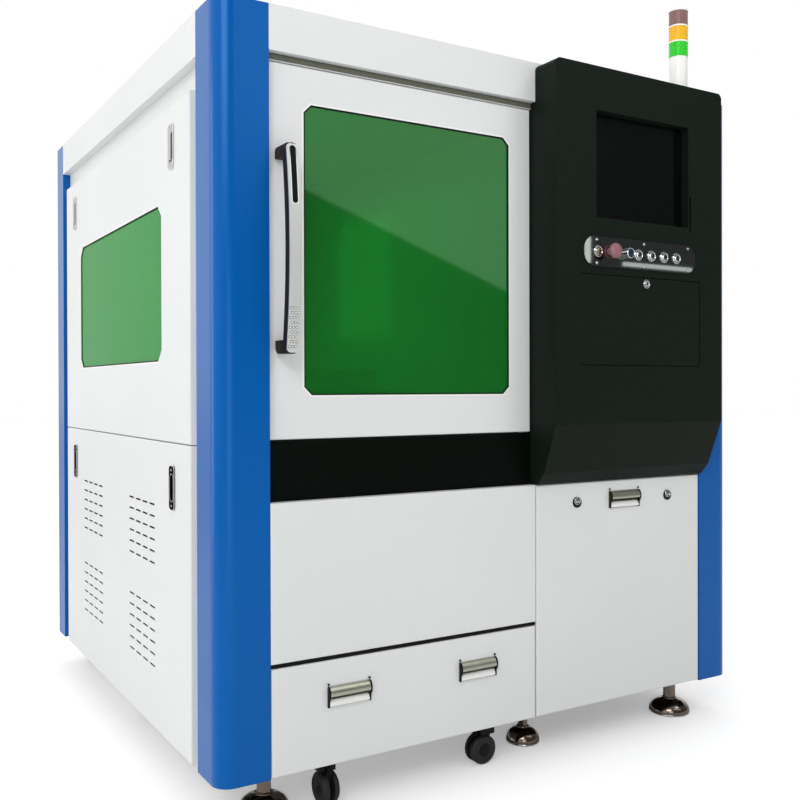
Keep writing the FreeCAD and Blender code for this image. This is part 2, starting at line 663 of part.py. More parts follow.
def quarter_lock(x, z, y, radius):
    """Slotted round lock: proud head, barrel through the sheet, tongue behind it."""
    head = rod(radius, LOCK_PROUD, V(x, y - LOCK_PROUD, z), IN)
    slot = block(x - KEYWAY, x + KEYWAY, y - LOCK_PROUD, y - SHEET,
                 z - 0.6 * radius, z + 0.6 * radius)
    barrel = rod(LOCK_BARREL_R, 1.5 * LOCK_BARREL_R, V(x, y, z), IN)
    tongue = block(x - 0.9 * LOCK_BARREL_R, x + 0.9 * LOCK_BARREL_R, y + 1.5 * LOCK_BARREL_R - LOCK_PROUD,
                   y + 1.5 * LOCK_BARREL_R, z - 0.9 * LOCK_BARREL_R, z + 2.75 * LOCK_BARREL_R)
    return head.cut(slot).fuse([barrel, tongue]).removeSplitter()


def lock_hole(x, z, y):
    return rod(LOCK_BARREL_R + BUTTON_GAP, SHEET, V(x, y, z), IN)


# ---------------------------------------------------------------- console
FLAP_X0 = CONSOLE_MID - FLAP_WIDE / 2 - SHEET
FLAP_X1 = FLAP_X0 + FLAP_WIDE
FLAP_Z1 = CONSOLE_TOP - FLAP_DROP
FLAP_Z0 = FLAP_Z1 - FLAP_HIGH
FLAP_LOCK_SHIFT = 7.5
FLAP_LOCK_DROP = 18.0
FLAP_LOCK = (CONSOLE_MID + FLAP_LOCK_SHIFT, FLAP_Z1 - FLAP_LOCK_DROP)
FLAP_LOCK_R = 13.0
FLAP_LIP = 9.0
MON_X0 = CONSOLE_MID + SEAM / 2 - MONITOR_WIDE / 2
MON_X1 = MON_X0 + MONITOR_WIDE
MON_Z1 = CONSOLE_TOP - MONITOR_DROP
MON_Z0 = MON_Z1 - MONITOR_HIGH
POWER_IN = 50.0           # steps from the strip's left end to each fitting
POWER_TO_STOP = 34.0
STOP_TO_KEY = 67.0
KEY_TO_BUTTON = 47.0
POWER_X = STRIP_X - STRIP_WIDE / 2 + POWER_IN
STOP_X = POWER_X + POWER_TO_STOP
KEY_X = STOP_X + STOP_TO_KEY
BUTTON_X0 = KEY_X + KEY_TO_BUTTON
BUTTONS = 4
BUTTON_PITCH = 49.0
BORE_R = CAP_R + BUTTON_GAP
BARREL_R = 13.0           # half side of the contact block behind a button
BARREL_LONG = 24.0
CONTACT_END = 14.0
SLOT_WIDE = 7.0           # upright slot beside the monitor
SLOT_HIGH = 102.0


def console_outline(inset):
    points = [V(0, 0, CONSOLE_Z), V(0, 0, CONSOLE_TOP), V(0, CONSOLE_Y, CONSOLE_TOP),
              V(0, CONSOLE_Y, CONSOLE_Z + CHIN_HIGH), V(0, -CHIN_OUT, CONSOLE_Z + CHIN_LOW),
              V(0, -0.2 * CHIN_OUT, CONSOLE_Z)]
    face = profile(points)
    return face.makeOffset2D(-inset) if inset else face


def build_console():
    outer = console_outline(0).extrude(ACROSS * (CONSOLE_X1 - CONSOLE_X0))
    outer.translate(V(CONSOLE_X0, 0, 0))
    crown = [e for e in edges_along(outer, IN) if e.Vertexes[0].Z > CONSOLE_TOP - CONSOLE_R]
    outer = outer.makeFillet(CONSOLE_R, crown)
    inner = console_outline(CONSOLE_SHEET).extrude(
        ACROSS * (CONSOLE_X1 - CONSOLE_X0 - 2 * CONSOLE_SHEET))
    inner.translate(V(CONSOLE_X0 + CONSOLE_SHEET, 0, 0))
    crown = [e for e in edges_along(inner, IN) if e.Vertexes[0].Z > CONSOLE_TOP - CONSOLE_R]
    inner = inner.makeFillet(CONSOLE_R - CONSOLE_SHEET, crown)
    lip = CONSOLE_LIP
    back = block(CONSOLE_X0 + lip, CONSOLE_X1 - lip, -CONSOLE_SHEET, 0,
                 CONSOLE_Z + lip, CONSOLE_TOP - lip)
    housing = outer.cut(inner).cut(back)
    x0 = CONSOLE_X0
    jamb = block(x0, x0 + CONSOLE_SHEET, 0, FRAME_SET, CONSOLE_Z, ROOF_Z)
    flange = block(x0, COLUMN_X + TUBE / 2, FRAME_SET - CONSOLE_SHEET, FRAME_SET, CONSOLE_Z, ROOF_Z)

    y = CONSOLE_Y
    sleeve = block(MON_X0 - SHEET, MON_X1 + SHEET, y, y + MONITOR_RECESS, MON_Z0 - SHEET, MON_Z1 + SHEET)
    housing = housing.fuse([jamb, flange, sleeve])
    housing = housing.cut(block(MON_X0, MON_X1, y, y + MONITOR_RECESS, MON_Z0, MON_Z1))
    slot_x = MON_X1 + 2 * SHEET
    slot_z = MON_Z0 - CONSOLE_R + SHEET
    housing = housing.cut(block(slot_x, slot_x + SLOT_WIDE, y, y + CONSOLE_SHEET,
                                slot_z, slot_z + SLOT_HIGH))
    gap = FLAP_GAP
    housing = housing.cut(block(FLAP_X0 - gap, FLAP_X1 + gap, y, y + CONSOLE_SHEET,
                                FLAP_Z0 - gap, FLAP_Z1 + gap))
    room = BARREL_R + CLEARING
    centres = button_centres()
    housing = housing.cut(block(centres[0] - room, centres[-1] + room, y, y + CONSOLE_SHEET,
                                STRIP_Z - room, STRIP_Z + room))
    for ear, pin in flap_hinge():
        housing = housing.fuse([ear, pin])
    keep("console_housing", housing.removeSplitter())

    rim = MONITOR_RIM
    front = y + MONITOR_RECESS
    casing = block(MON_X0 - rim, MON_X1 + rim, front, front + MONITOR_THICK, MON_Z0 - rim, MON_Z1 + rim)
    screen = block(MON_X0 + rim, MON_X1 - rim, front, front + PULL_WALL, MON_Z0 + rim, MON_Z1 - rim)
    keep("monitor", casing.cut(screen))


def flap_hinge():
    """Ear and pin behind the console's face at each lower corner of the flap."""
    y = CONSOLE_Y + FLAP_PIN_IN
    z = FLAP_Z0 + FLAP_PIN_IN
    halves = []
    for edge, sign in ((FLAP_X0, 1), (FLAP_X1, -1)):
        face = edge - sign * FLAP_GAP
        x0, x1 = sorted((face, face - sign * FLAP_EAR))
        ear = block(x0, x1, CONSOLE_Y + CONSOLE_SHEET, y + FLAP_PIN_IN, z - FLAP_PIN_IN, z + FLAP_PIN_IN)
        pin = rod(FLAP_PIN_R, FLAP_GAP + 1.25 * SHEET, V(face, y, z), ACROSS * sign)
        halves.append((ear, pin))
    return halves


def button_centres():
    caps = [BUTTON_X0 + k * BUTTON_PITCH for k in range(BUTTONS)]
    return [POWER_X, STOP_X, KEY_X] + caps


def bezel(x, proud, outer):
    """Round bezel on the strip and the square contact block behind it."""
    flange = rod(outer, proud, V(x, STRIP_Y - proud, STRIP_Z), IN)
    rear = CONSOLE_Y + BARREL_LONG + CONTACT_END
    return flange.fuse(block(x - BARREL_R, x + BARREL_R, STRIP_Y, rear,
                             STRIP_Z - BARREL_R, STRIP_Z + BARREL_R))


def button_cap(x, proud, edge):
    """Round cap with a chamfered face, running in its bezel."""
    face = STRIP_Y - proud
    cap = rod(CAP_R, CONSOLE_Y + BARREL_LONG - CAP_TRAVEL - face, V(x, face, STRIP_Z), IN)
    return cap.makeChamfer(edge, edges_at_y(cap, face))


def build_controls():
    half = STRIP_WIDE / 2
    strip = rounded_block(STRIP_X - half, STRIP_X + half, STRIP_Y, STRIP_Y + STRIP_THICK,
                          STRIP_Z - STRIP_HIGH / 2, STRIP_Z + STRIP_HIGH / 2,
                          STRIP_HIGH / 2 - CLEARING, IN)
    strip = strip.fuse([bezel(POWER_X, BEZEL_PROUD, BEZEL_R),
                        bezel(STOP_X, STOP_COLLAR, BEZEL_R + SHEET),
                        bezel(KEY_X, KEY_PROUD, BEZEL_R - BEZEL_PROUD / 3)])
    caps = button_centres()[-BUTTONS:]
    strip = strip.fuse([bezel(x, BEZEL_PROUD, BEZEL_R) for x in caps])
    deep = CONSOLE_Y + BARREL_LONG - STRIP_Y + KEY_PROUD
    for x in button_centres():
        strip = strip.cut(rod(BORE_R, deep, V(x, STRIP_Y - KEY_PROUD, STRIP_Z), IN))
    keep("button_plate", strip.removeSplitter())

    keep("power_button", button_cap(POWER_X, 1.3 * BEZEL_PROUD, BEZEL_PROUD / 3))
    for k, x in enumerate(caps):
        keep("push_button_%d" % (k + 1), button_cap(x, 2 * BEZEL_PROUD, 0.7 * BEZEL_PROUD))
    keep("emergency_stop", mushroom())

    key = rod(CAP_R, KEY_PROUD + BARREL_R, V(KEY_X, STRIP_Y - KEY_PROUD, STRIP_Z), IN)
    key = key.cut(block(KEY_X - KEYWAY, KEY_X + KEYWAY, STRIP_Y - KEY_PROUD,
                        STRIP_Y - 0.8 * KEY_PROUD, STRIP_Z - CAP_R / 2, STRIP_Z + CAP_R / 2))
    keep("key_switch", key)


def mushroom():
    """Emergency stop: domed head, flared back and the stem that runs in its collar."""
    tail = CONSOLE_Y + BARREL_LONG - STOP_TRAVEL - CLEARING
    neck = STRIP_Y - STOP_COLLAR - STOP_TRAVEL - 2 * CLEARING
    brim = STRIP_Y - STOP_PROUD + STOP_DOME
    skirt = brim + 0.6 * STOP_DOME
    root = 1.35 * CAP_R
    section = dome(STOP_R, brim, STOP_DOME, 3)
    section += [V(0.95 * STOP_R, skirt, 0), V(root, neck, 0), V(CAP_R, neck, 0),
                V(CAP_R, tail, 0), V(0, tail, 0)]
    head = profile(section).revolve(V(0, 0, 0), IN, 360)
    head.translate(V(STOP_X, 0, STRIP_Z))
    return head


def build_flap():
    y = CONSOLE_Y
    flap = pan(FLAP_X0, FLAP_X1, FLAP_Z0, FLAP_Z1, y, FLAP_DEEP, FLAP_LIP)
    lock_x, lock_z = FLAP_LOCK
    flap = flap.cut(lock_hole(lock_x, lock_z, y))
    pivot = V(FLAP_X0, y + FLAP_PIN_IN, FLAP_Z0 + FLAP_PIN_IN)
    flap = flap.cut(rod(FLAP_PIN_R + AXLE_PLAY, FLAP_WIDE, pivot, ACROSS))
    keep("keyboard_flap", flap)
    radius = FLAP_LOCK_R
    head = rod(radius, LOCK_PROUD, V(lock_x, y - LOCK_PROUD, lock_z), IN)
    slot = block(lock_x - KEYWAY, lock_x + KEYWAY, y - LOCK_PROUD, y - SHEET,
                 lock_z - radius / 2, lock_z + radius / 2)
    end = y + FLAP_DEEP
    barrel = rod(LOCK_BARREL_R, FLAP_DEEP, V(lock_x, y, lock_z), IN)
    stem = rod(LOCK_BARREL_R / 2, SHEET, V(lock_x, end, lock_z), IN)
    half = 0.75 * LOCK_BARREL_R
    tongue = block(lock_x - half, lock_x + half, end + SHEET, end + SHEET + PULL_FLANGE,
                   lock_z - half, lock_z + 2 * half)
    keep("flap_lock", head.cut(slot).fuse([barrel, stem, tongue]).removeSplitter())

    x0 = (FLAP_X0 + FLAP_X1 - KEYBOARD_WIDE) / 2
    x1 = x0 + KEYBOARD_WIDE
    z0 = FLAP_Z0 + KEYBOARD_DEEP / 4
    z1 = z0 + KEYBOARD_DEEP
    face = end + KEYBOARD_THICK
    base = rounded_block(x0, x1, end, face, z0, z1, KEYBOARD_THICK / 2, IN)
    margin = KEY_PITCH / 2
    rows = []
    for k in range(KEY_ROWS):
        z = z0 + margin + k * KEY_PITCH
        rows.append(block(x0 + margin, x1 - margin, face, face + KEY_HIGH, z, z + 0.8 * KEY_PITCH))
    bracket = block(x0 + margin, x1 - margin, y + SHEET, end, z0 + margin, z1 - margin)
    keep("keyboard", base.fuse(rows), bracket)


# ---------------------------------------------------------------- lower cabinet and drawer
CAB_Y = 2.0               # cabinet door set back from the covers' plane
CAB_Z1 = LOWER_TOP - SEAM
CAB_X0 = CONSOLE_X0 + 2 * SEAM
CAB_X1 = CONSOLE_X1 - 0.75 * SEAM
CAB_LIP = 16.0
CAB_PULL_SHIFT = 4.0      # the pull stands right of the door's middle
CAB_PULL_DROP = 53.5
CAB_PULL_X = (CAB_X0 + CAB_X1) / 2 + CAB_PULL_SHIFT
CAB_PULL_Z = CAB_Z1 - CAB_PULL_DROP
CAB_LOCK_DX = 174.0
CAB_LOCK_R = 14.5
DRAWER_DEEP = 24.0
DRAWER_LIP = 30.0
DRAWER_PULLS = (198.0, 569.5)   # from the left cover
DRAWER_PULL_UP = 163.0


def build_cabinet():
    door = pan(CAB_X0, CAB_X1, UNDER + SEAM, CAB_Z1, CAB_Y, FRAME_SET - CAB_Y, CAB_LIP)
    door = door.cut(cup_cut(CAB_PULL_X, CAB_PULL_Z, CAB_Y, SHEET))
    for name, sign in (("left", -1), ("right", 1)):
        x = CAB_PULL_X + sign * CAB_LOCK_DX
        door = door.cut(lock_hole(x, CAB_PULL_Z, CAB_Y))
        keep("cabinet_lock_" + name, quarter_lock(x, CAB_PULL_Z, CAB_Y, CAB_LOCK_R))
    keep("cabinet_door", door)
    keep("cabinet_pull", cup_pull(CAB_PULL_X, CAB_PULL_Z, CAB_Y))


def build_drawer():
    x0 = POST_LEFT + SEAM
    x1 = CONSOLE_X0 - SEAM
    front = pan(x0, x1, UNDER + SEAM, DRAWER_TOP, 0, DRAWER_DEEP, DRAWER_LIP)
    centres = [POST_LEFT + offset for offset in DRAWER_PULLS]
    z = UNDER + DRAWER_PULL_UP
    for x in centres:
        front = front.cut(cup_cut(x, z, 0, SHEET))
    tray_x0 = POST_LEFT + TRAY_SIDE
    tray_x1 = CONSOLE_X0 - TRAY_SIDE
    z0 = FRAME_LOW + TUBE + RUNNER_THICK
    z1 = z0 + TRAY_HIGH
    y0 = DRAWER_DEEP
    tray = block(tray_x0, tray_x1, y0, y0 + TRAY_LONG, z0, z1)
    tray = tray.cut(block(tray_x0 + SHEET, tray_x1 - SHEET, y0 + SHEET, y0 + TRAY_LONG - SHEET,
                          z0 + SHEET, z1))
    bridge = block(x0 + DRAWER_LIP, x1 - DRAWER_LIP, y0 - SHEET, y0, z0, z1)
    keep("scrap_drawer", front.fuse(bridge), tray)
    keep("drawer_pulls", *[cup_pull(x, z, 0) for x in centres])


# ---------------------------------------------------------------- front door
DOOR_LIP = 30.0
PULL_FROM_COVER = 33.0
PULL_X = POST_LEFT + PULL_FROM_COVER
GRIP_DROP = 194.0
GRIP_LONG = 472.0
GRIP_TOP = DOOR_TOP - GRIP_DROP
GRIP_LOW = GRIP_TOP - GRIP_LONG
GRIP_WIDE = 30.0
GRIP_THICK = 18.0
GRIP_SKIN = 2.5           # silver face let into the bar
GRIP_OUT = 50.0           # its ends in front of the covers
GRIP_BELLY = 68.0         # its fullest part
GRIP_CORNER = 5.0
STAND_OUT = 42.0
STAND_OVER = 9.0          # upper stand-off: past the bar's end, down, and its slope
STAND_DOWN = 27.0
STAND_SLOPE = 13.0
STAND_LOW = 3.0           # lower stand-off: its two ends above the bar's end, and its toe
STAND_HIGH = 34.0
STAND_TOE = 7.0


def build_door():
    y = DOOR_STEP
    wx0 = POST_LEFT + WINDOW_LEFT
    wx1 = CONSOLE_X0 - WINDOW_RIGHT
    wz0 = BAND_TOP + WINDOW_BELOW
    wz1 = DOOR_TOP - WINDOW_ABOVE
    door = pan(DOOR_X0, DOOR_X1, DOOR_Z0, DOOR_TOP, y, DOOR_DEEP, DOOR_LIP)
    cut = WINDOW_CHAMFER
    door = door.cut(chamfered(wx0, wx1, wz0, wz1, y, SHEET, cut, cut))
    door = door.cut([hinge_hole(DOOR_Z0, SHEET), hinge_hole(DOOR_TOP - SHEET, SHEET)])
    keep("front_door", door)
    keep("door_hinges", *door_pivots())
    lap = GLAZING_LAP
    pane = chamfered(wx0 - lap, wx1 + lap, wz0 - lap, wz1 + lap, y + SHEET, GLAZING, cut, cut)
    keep("door_window", pane)
    build_door_pull(y)


def door_pivots():
    """Concealed pins that enter the door from a plate above and a bracket below."""
    half = 4 * HINGE_PIN_R
    through = DOOR_TOP + SEAM + SHEET
    plate = block(HINGE_X - half, HINGE_X + half, DOOR_STEP + SHEET, DOOR_STEP + DOOR_DEEP,
                  through, FRAME_TOP - TUBE)
    low_end = DOOR_TOP - HINGE_PIN_UP
    upper = plate.fuse(rod(HINGE_PIN_R, through - low_end, V(HINGE_X, HINGE_Y, low_end), UP))
    bracket_top = BAND_TOP - HINGE_PIN_R
    bracket = block(HINGE_X - half, COLUMN_X, FRAME_Y0, FRAME_Y0 + 2 * half,
                    bracket_top - PLATE, bracket_top)
    foot_end = bracket_top - PLATE
    lower = bracket.fuse(rod(HINGE_PIN_R, DOOR_Z0 + HINGE_PIN_UP - foot_end,
                             V(HINGE_X, HINGE_Y, foot_end), UP))
    return upper, lower


def build_door_pull(y):
    """Bowed pull: a thick bar swept along a shallow arc between two stand-offs."""
    half = GRIP_WIDE / 2
    deep = V(0, GRIP_THICK, 0)
    skin = V(0, GRIP_SKIN, 0)
    top = V(PULL_X, -GRIP_OUT, GRIP_TOP)
    low = V(PULL_X, -GRIP_OUT, GRIP_LOW)
    belly = V(PULL_X, -GRIP_BELLY, GRIP_LOW + 0.36 * (GRIP_TOP - GRIP_LOW))
    out_arc = Part.Arc(top, belly, low).toShape()

    def bow(thickness):
        back = Part.Arc(low + thickness, belly + thickness, top + thickness).toShape()
        edge = Part.Face(Part.Wire([out_arc, Part.makeLine(low, low + thickness), back,
                                    Part.makeLine(top + thickness, top)]))
        edge.translate(V(-half, 0, 0))
        return edge.extrude(ACROSS * GRIP_WIDE)

    bar = bow(deep)
    bar = bar.makeFillet(GRIP_CORNER, edges_along(bar, ACROSS))

    def stand_off(points):
        solid = profile([V(0, y0, z0) for y0, z0 in points]).extrude(ACROSS * GRIP_WIDE)
        solid.translate(V(PULL_X - half, 0, 0))
        return solid

    high = GRIP_TOP + STAND_OVER
    foot_z = GRIP_TOP - STAND_DOWN
    upper = stand_off([(y, foot_z), (y, high), (-STAND_OUT / 3, high),
                       (-STAND_OUT, high - STAND_SLOPE), (-STAND_OUT, foot_z + SHEET / 2),
                       (-STAND_OUT / 2, foot_z)])
    high = GRIP_LOW + STAND_HIGH
    foot_z = GRIP_LOW + STAND_LOW
    lower = stand_off([(y, high), (y, foot_z), (-0.8 * STAND_OUT, foot_z),
                       (-STAND_OUT, foot_z + STAND_TOE), (-STAND_OUT, high - STAND_LOW),
                       (-STAND_OUT / 2, high)])

    def between(z0, z1):
        return block(PULL_X - half, PULL_X + half, -2 * GRIP_BELLY, DOOR_STEP, z0, z1)

    cover = bow(skin)
    inset = GRIP_CORNER + CLEARING / 2
    face = cover.common(between(GRIP_LOW + inset, GRIP_TOP - inset))
    corner = [e for e in face.Edges if len(e.Vertexes) == 2 and e.Length < 1.2 * GRIP_SKIN
              and abs(e.Vertexes[0].Z - e.Vertexes[1].Z) < GRIP_SKIN / 2]
    face = face.makeFillet(0.73 * half, corner)
    bar = bar.cut(cover.common(between(GRIP_LOW - 2 * inset, GRIP_TOP + 2 * inset)))
    keep("door_pull", bar.fuse([upper, lower]).removeSplitter())
    keep("door_pull_face", face)


# ---------------------------------------------------------------- side and rear panels
SIDE_PULL_DROP = 103.5    # upper pulls from the top edge, lower ones from the bottom edge
SIDE_PULL_LOW = 636.0
SIDE_PULL_HIGH = (SIDE_Z1 - SIDE_PULL_DROP, UNDER + SIDE_PULL_LOW)
SIDE_PULL_FRONT = 132.0   # pulls from the panel's front and rear edges
SIDE_PULL_REAR = 128.0
SIDE_LIP = 20.0
REAR_STEP = 4.0           # rear panel's face behind the covers' plane
REAR_PULL_IN = 60.0


def side_panels(place, word, with_port):
    deep = SIDE_STEP
    upper = pan(SIDE_Y0, SIDE_Y1, SIDE_SEAM + SEAM, SIDE_Z1, 0, deep, SIDE_LIP)
    lower = pan(SIDE_Y0, SIDE_Y1, UNDER, SIDE_SEAM, 0, deep, SIDE_LIP)
    spots = (SIDE_Y0 + SIDE_PULL_FRONT, SIDE_Y1 - SIDE_PULL_REAR)
    high, low = SIDE_PULL_HIGH
    for y in spots:
        upper = upper.cut(side_pull_cut(y, high, 0, SHEET))
        lower = lower.cut(side_pull_cut(y, low, 0, SHEET))
    upper_pulls = [place(side_pull(y, high, 0, True)) for y in spots]
    lower_pulls = [place(side_pull(y, low, 0, False)) for y in spots]
    slots = []
    for y0 in VENT_COLUMNS:
        for z0 in VENT_ROWS:
            for column in range(VENT_ACROSS):
                for row in range(VENT_UP):
                    y = y0 + column * VENT_PITCH_Y
                    z = z0 + row * VENT_PITCH_Z
                    slots.append(block(y, y + VENT_LONG, 0, SHEET, z, z + VENT_HIGH))
    lower = lower.cut(Part.makeCompound(slots))
    if with_port:
        y0, y1, z0, z1 = PORT
        upper = upper.cut(chamfered(y0, y1, z0, z1, 0, SHEET, *PORT_CUT))
        lap = GLAZING_LAP
        pane = chamfered(y0 - lap, y1 + lap, z0 - lap, z1 + lap, SHEET, GLAZING, *PORT_CUT)
        keep(word + "_upper_panel", place(upper))
        keep(word + "_window", place(pane))
        keep(word + "_upper_pulls", *upper_pulls)
        keep(word + "_lower_panel", place(lower))
        keep(word + "_lower_pulls", *lower_pulls)
    else:
        keep(word + "_upper_panel", place(upper), *upper_pulls)
        keep(word + "_lower_panel", place(lower), *lower_pulls)


def build_rear_panel():
    x1 = WIDTH - REAR_X0
    panel = pan(REAR_X0, x1, REAR_Z0, SIDE_Z1, REAR_STEP, SIDE_STEP - REAR_STEP, SIDE_LIP)
    z = (REAR_Z0 + SIDE_Z1) / 2
    pulls = []
    for x in (REAR_X0 + REAR_PULL_IN, x1 - REAR_PULL_IN):
        panel = panel.cut(side_pull_cut(x, z, REAR_STEP, SHEET))
        pulls.append(on_rear(side_pull(x, z, REAR_STEP, False)))
    keep("rear_panel", on_rear(panel), *pulls)


# ---------------------------------------------------------------- tower light
TOWER_BASE_HIGH = 100.0
TOWER_FOOT_HIGH = 8.0
TOWER_CAP_HIGH = 7.0


def build_tower():
    x = CONSOLE_X1 - TOWER_FROM_RIGHT
    y = -TOWER_R - CONSOLE_SHEET
    foot_plate = rod(TOWER_R + SHEET / 2, TOWER_FOOT_HIGH, V(x, y, CONSOLE_TOP), UP)
    stem = rod(TOWER_R - SHEET, TOWER_BASE_HIGH, V(x, y, CONSOLE_TOP), UP)
    z = CONSOLE_TOP + TOWER_BASE_HIGH
    pitch = LENS_HIGH + LENS_RING
    rings = []
    for k, colour in enumerate(("green", "amber", "red")):
        z0 = z + k * pitch
        keep("tower_lens_" + colour, rod(TOWER_R - CLEARING, LENS_HIGH, V(x, y, z0), UP))
        if k < 2:
            rings.append(rod(TOWER_R, LENS_RING, V(x, y, z0 + LENS_HIGH), UP))
    cap = rod(TOWER_R, TOWER_CAP_HIGH, V(x, y, z + 3 * pitch - LENS_RING), UP)
    rim = [e for e in cap.Edges if e.BoundBox.ZMin > cap.BoundBox.ZMin + SHEET]
    keep("tower_base", foot_plate.fuse(stem).removeSplitter(), *rings, cap.makeChamfer(PULL_FLANGE, rim))


# ---------------------------------------------------------------- inside the machine
RAIL_WIDE = 24.0
RAIL_IN = 22.0
RAIL_X0 = FRAME_X0 + RAIL_IN
RAIL_X1 = COLUMN_X + 2 * SHEET
RAIL_HIGH = 215.0
RAIL_TOP = BED_TOP + RAIL_HIGH
RAIL_Y0 = FRAME_Y0 + 1.33 * TUBE
RAIL_Y1 = FRAME_Y1 - 2 * TUBE
TRACK_WIDE = 16.0
TRACK_HIGH = 15.0
GANTRY_Y = 900.0
GANTRY_HIGH = 92.0
GANTRY_DEEP = 70.0
GROOVE = 10.0             # the beam's two guide grooves
HEAD_X = 470.0
HEAD_WIDE = 64.0
HEAD_HIGH = 210.0
CARRIAGE_WIDE = 120.0
CARRIAGE_HIGH = 150.0
CHEEK_THICK = 12.0
CHEEK_DEEP = 50.0
STAND_OFF = 20.0          # carriage plate in front of the beam
NOZZLE_TIP = 150.0        # above the bed's frame
BED_MARGIN = 30.0
BED_LONG = 1250.0
BED_BAR = 30.0
BED_HIGH = 60.0
BED_X0 = FRAME_X0 + TUBE + BED_MARGIN
BED_X1 = COLUMN_X - 1.3 * BED_MARGIN
BED_Y0 = FRAME_Y0 + TUBE + BED_MARGIN
BED_Y1 = BED_Y0 + BED_LONG
SLATS = 16
SLAT_THICK = 3.0
SLAT_PROUD = 40.0


def gantry_rails():
    rails = []
    for x in (RAIL_X0, RAIL_X1):
        web = block(x, x + RAIL_WIDE, RAIL_Y0, RAIL_Y1, BED_TOP, RAIL_TOP)
        edge = (RAIL_WIDE - TRACK_WIDE) / 2
        track = block(x + edge, x + edge + TRACK_WIDE, RAIL_Y0, RAIL_Y1, RAIL_TOP, RAIL_TOP + TRACK_HIGH)
        rails.append(web.fuse(track))
    return rails


def build_bed():
    """Loose slats on edge in a frame of four bars, on lugs that reach the frame tubes."""
    bar = BED_BAR
    z0 = BED_TOP
    z1 = z0 + BED_HIGH
    x0, x1, y0, y1 = BED_X0, BED_X1, BED_Y0, BED_Y1
    solids = [block(x0, x1, y0, y0 + bar, z0, z1), block(x0, x1, y1 - bar, y1, z0, z1),
              block(x0, x0 + bar, y0 + bar, y1 - bar, z0, z1),
              block(x1 - bar, x1, y0 + bar, y1 - bar, z0, z1)]
    pitch = (y1 - y0 - 2 * bar) / SLATS
    for k in range(SLATS):
        y = y0 + bar + (k + 0.5) * pitch
        solids.append(block(x0 + bar, x1 - bar, y, y + SLAT_THICK, z0 + bar / 3, z1 + SLAT_PROUD))
    lug = BED_HIGH
    for y in (y0 + lug, y1 - 2 * lug):
        solids.append(block(FRAME_X0 + TUBE - SHEET, x0, y, y + lug, z0, z0 + bar / 2))
        solids.append(block(x1, COLUMN_X + SHEET, y, y + lug, z0, z0 + bar / 2))
    keep("slat_bed", *solids)


def build_gantry():
    y0 = GANTRY_Y
    y1 = GANTRY_Y + GANTRY_DEEP
    z0 = RAIL_TOP + TRACK_HIGH
    end = RAIL_X1 + RAIL_WIDE
    beam = block(RAIL_X0, end, y0, y1, z0, z0 + GANTRY_HIGH)
    for z in (z0 + 1.5 * GROOVE, z0 + GANTRY_HIGH - 2.5 * GROOVE):
        beam = beam.cut(block(RAIL_X0, end, y0, y0 + 0.6 * GROOVE, z, z + GROOVE))
    keep("gantry_beam", beam)

    x = HEAD_X
    half = CARRIAGE_WIDE / 2
    inside = half - CHEEK_THICK
    back = y0 - STAND_OFF
    carriage = block(x - half, x + half, back, y0, z0, z0 + CARRIAGE_HIGH)
    for left in (x - half, x + inside):
        carriage = carriage.fuse(block(left, left + CHEEK_THICK, back - CHEEK_DEEP, back,
                                       z0, z0 + CARRIAGE_HIGH))
    keep("head_carriage", carriage.removeSplitter())

    low = z0 - GROOVE
    tip = BED_TOP + NOZZLE_TIP
    body_half = HEAD_WIDE / 2
    body_y = back - body_half + SHEET
    slide = block(x - inside, x + inside, back - GROOVE, back, low, z0 + CARRIAGE_HIGH - GROOVE)
    body = block(x - body_half, x + body_half, body_y - body_half, body_y + body_half - GROOVE,
                 low, low + HEAD_HIGH)
    body = body.makeChamfer(0.12 * HEAD_WIDE, edges_along(body, UP))
    nozzle = Part.makeCone(0.1 * HEAD_WIDE, 0.37 * HEAD_WIDE, low - tip, V(x, body_y, tip), UP)
    keep("cutting_head", body.fuse([slide, nozzle]).removeSplitter())


SOURCE_Y0 = 300.0
SOURCE_LONG = 700.0
SOURCE_HIGH = 260.0
SOURCE_SIDE = 70.0        # clear of the frame on either side
GRILLES = 6
GRILLE_PITCH = 50.0
GRILLE_WIDE = 28.0
GRILLE_DEEP = 3.0
BACK_PLATE = 5.0
BACK_PLATE_HIGH = 440.0
BACK_PLATE_FROM_REAR = 305.0
UNITS = 4
UNIT_DEEP = 100.0
UNIT_GAP = 20.0
UNIT_HIGH = 180.0


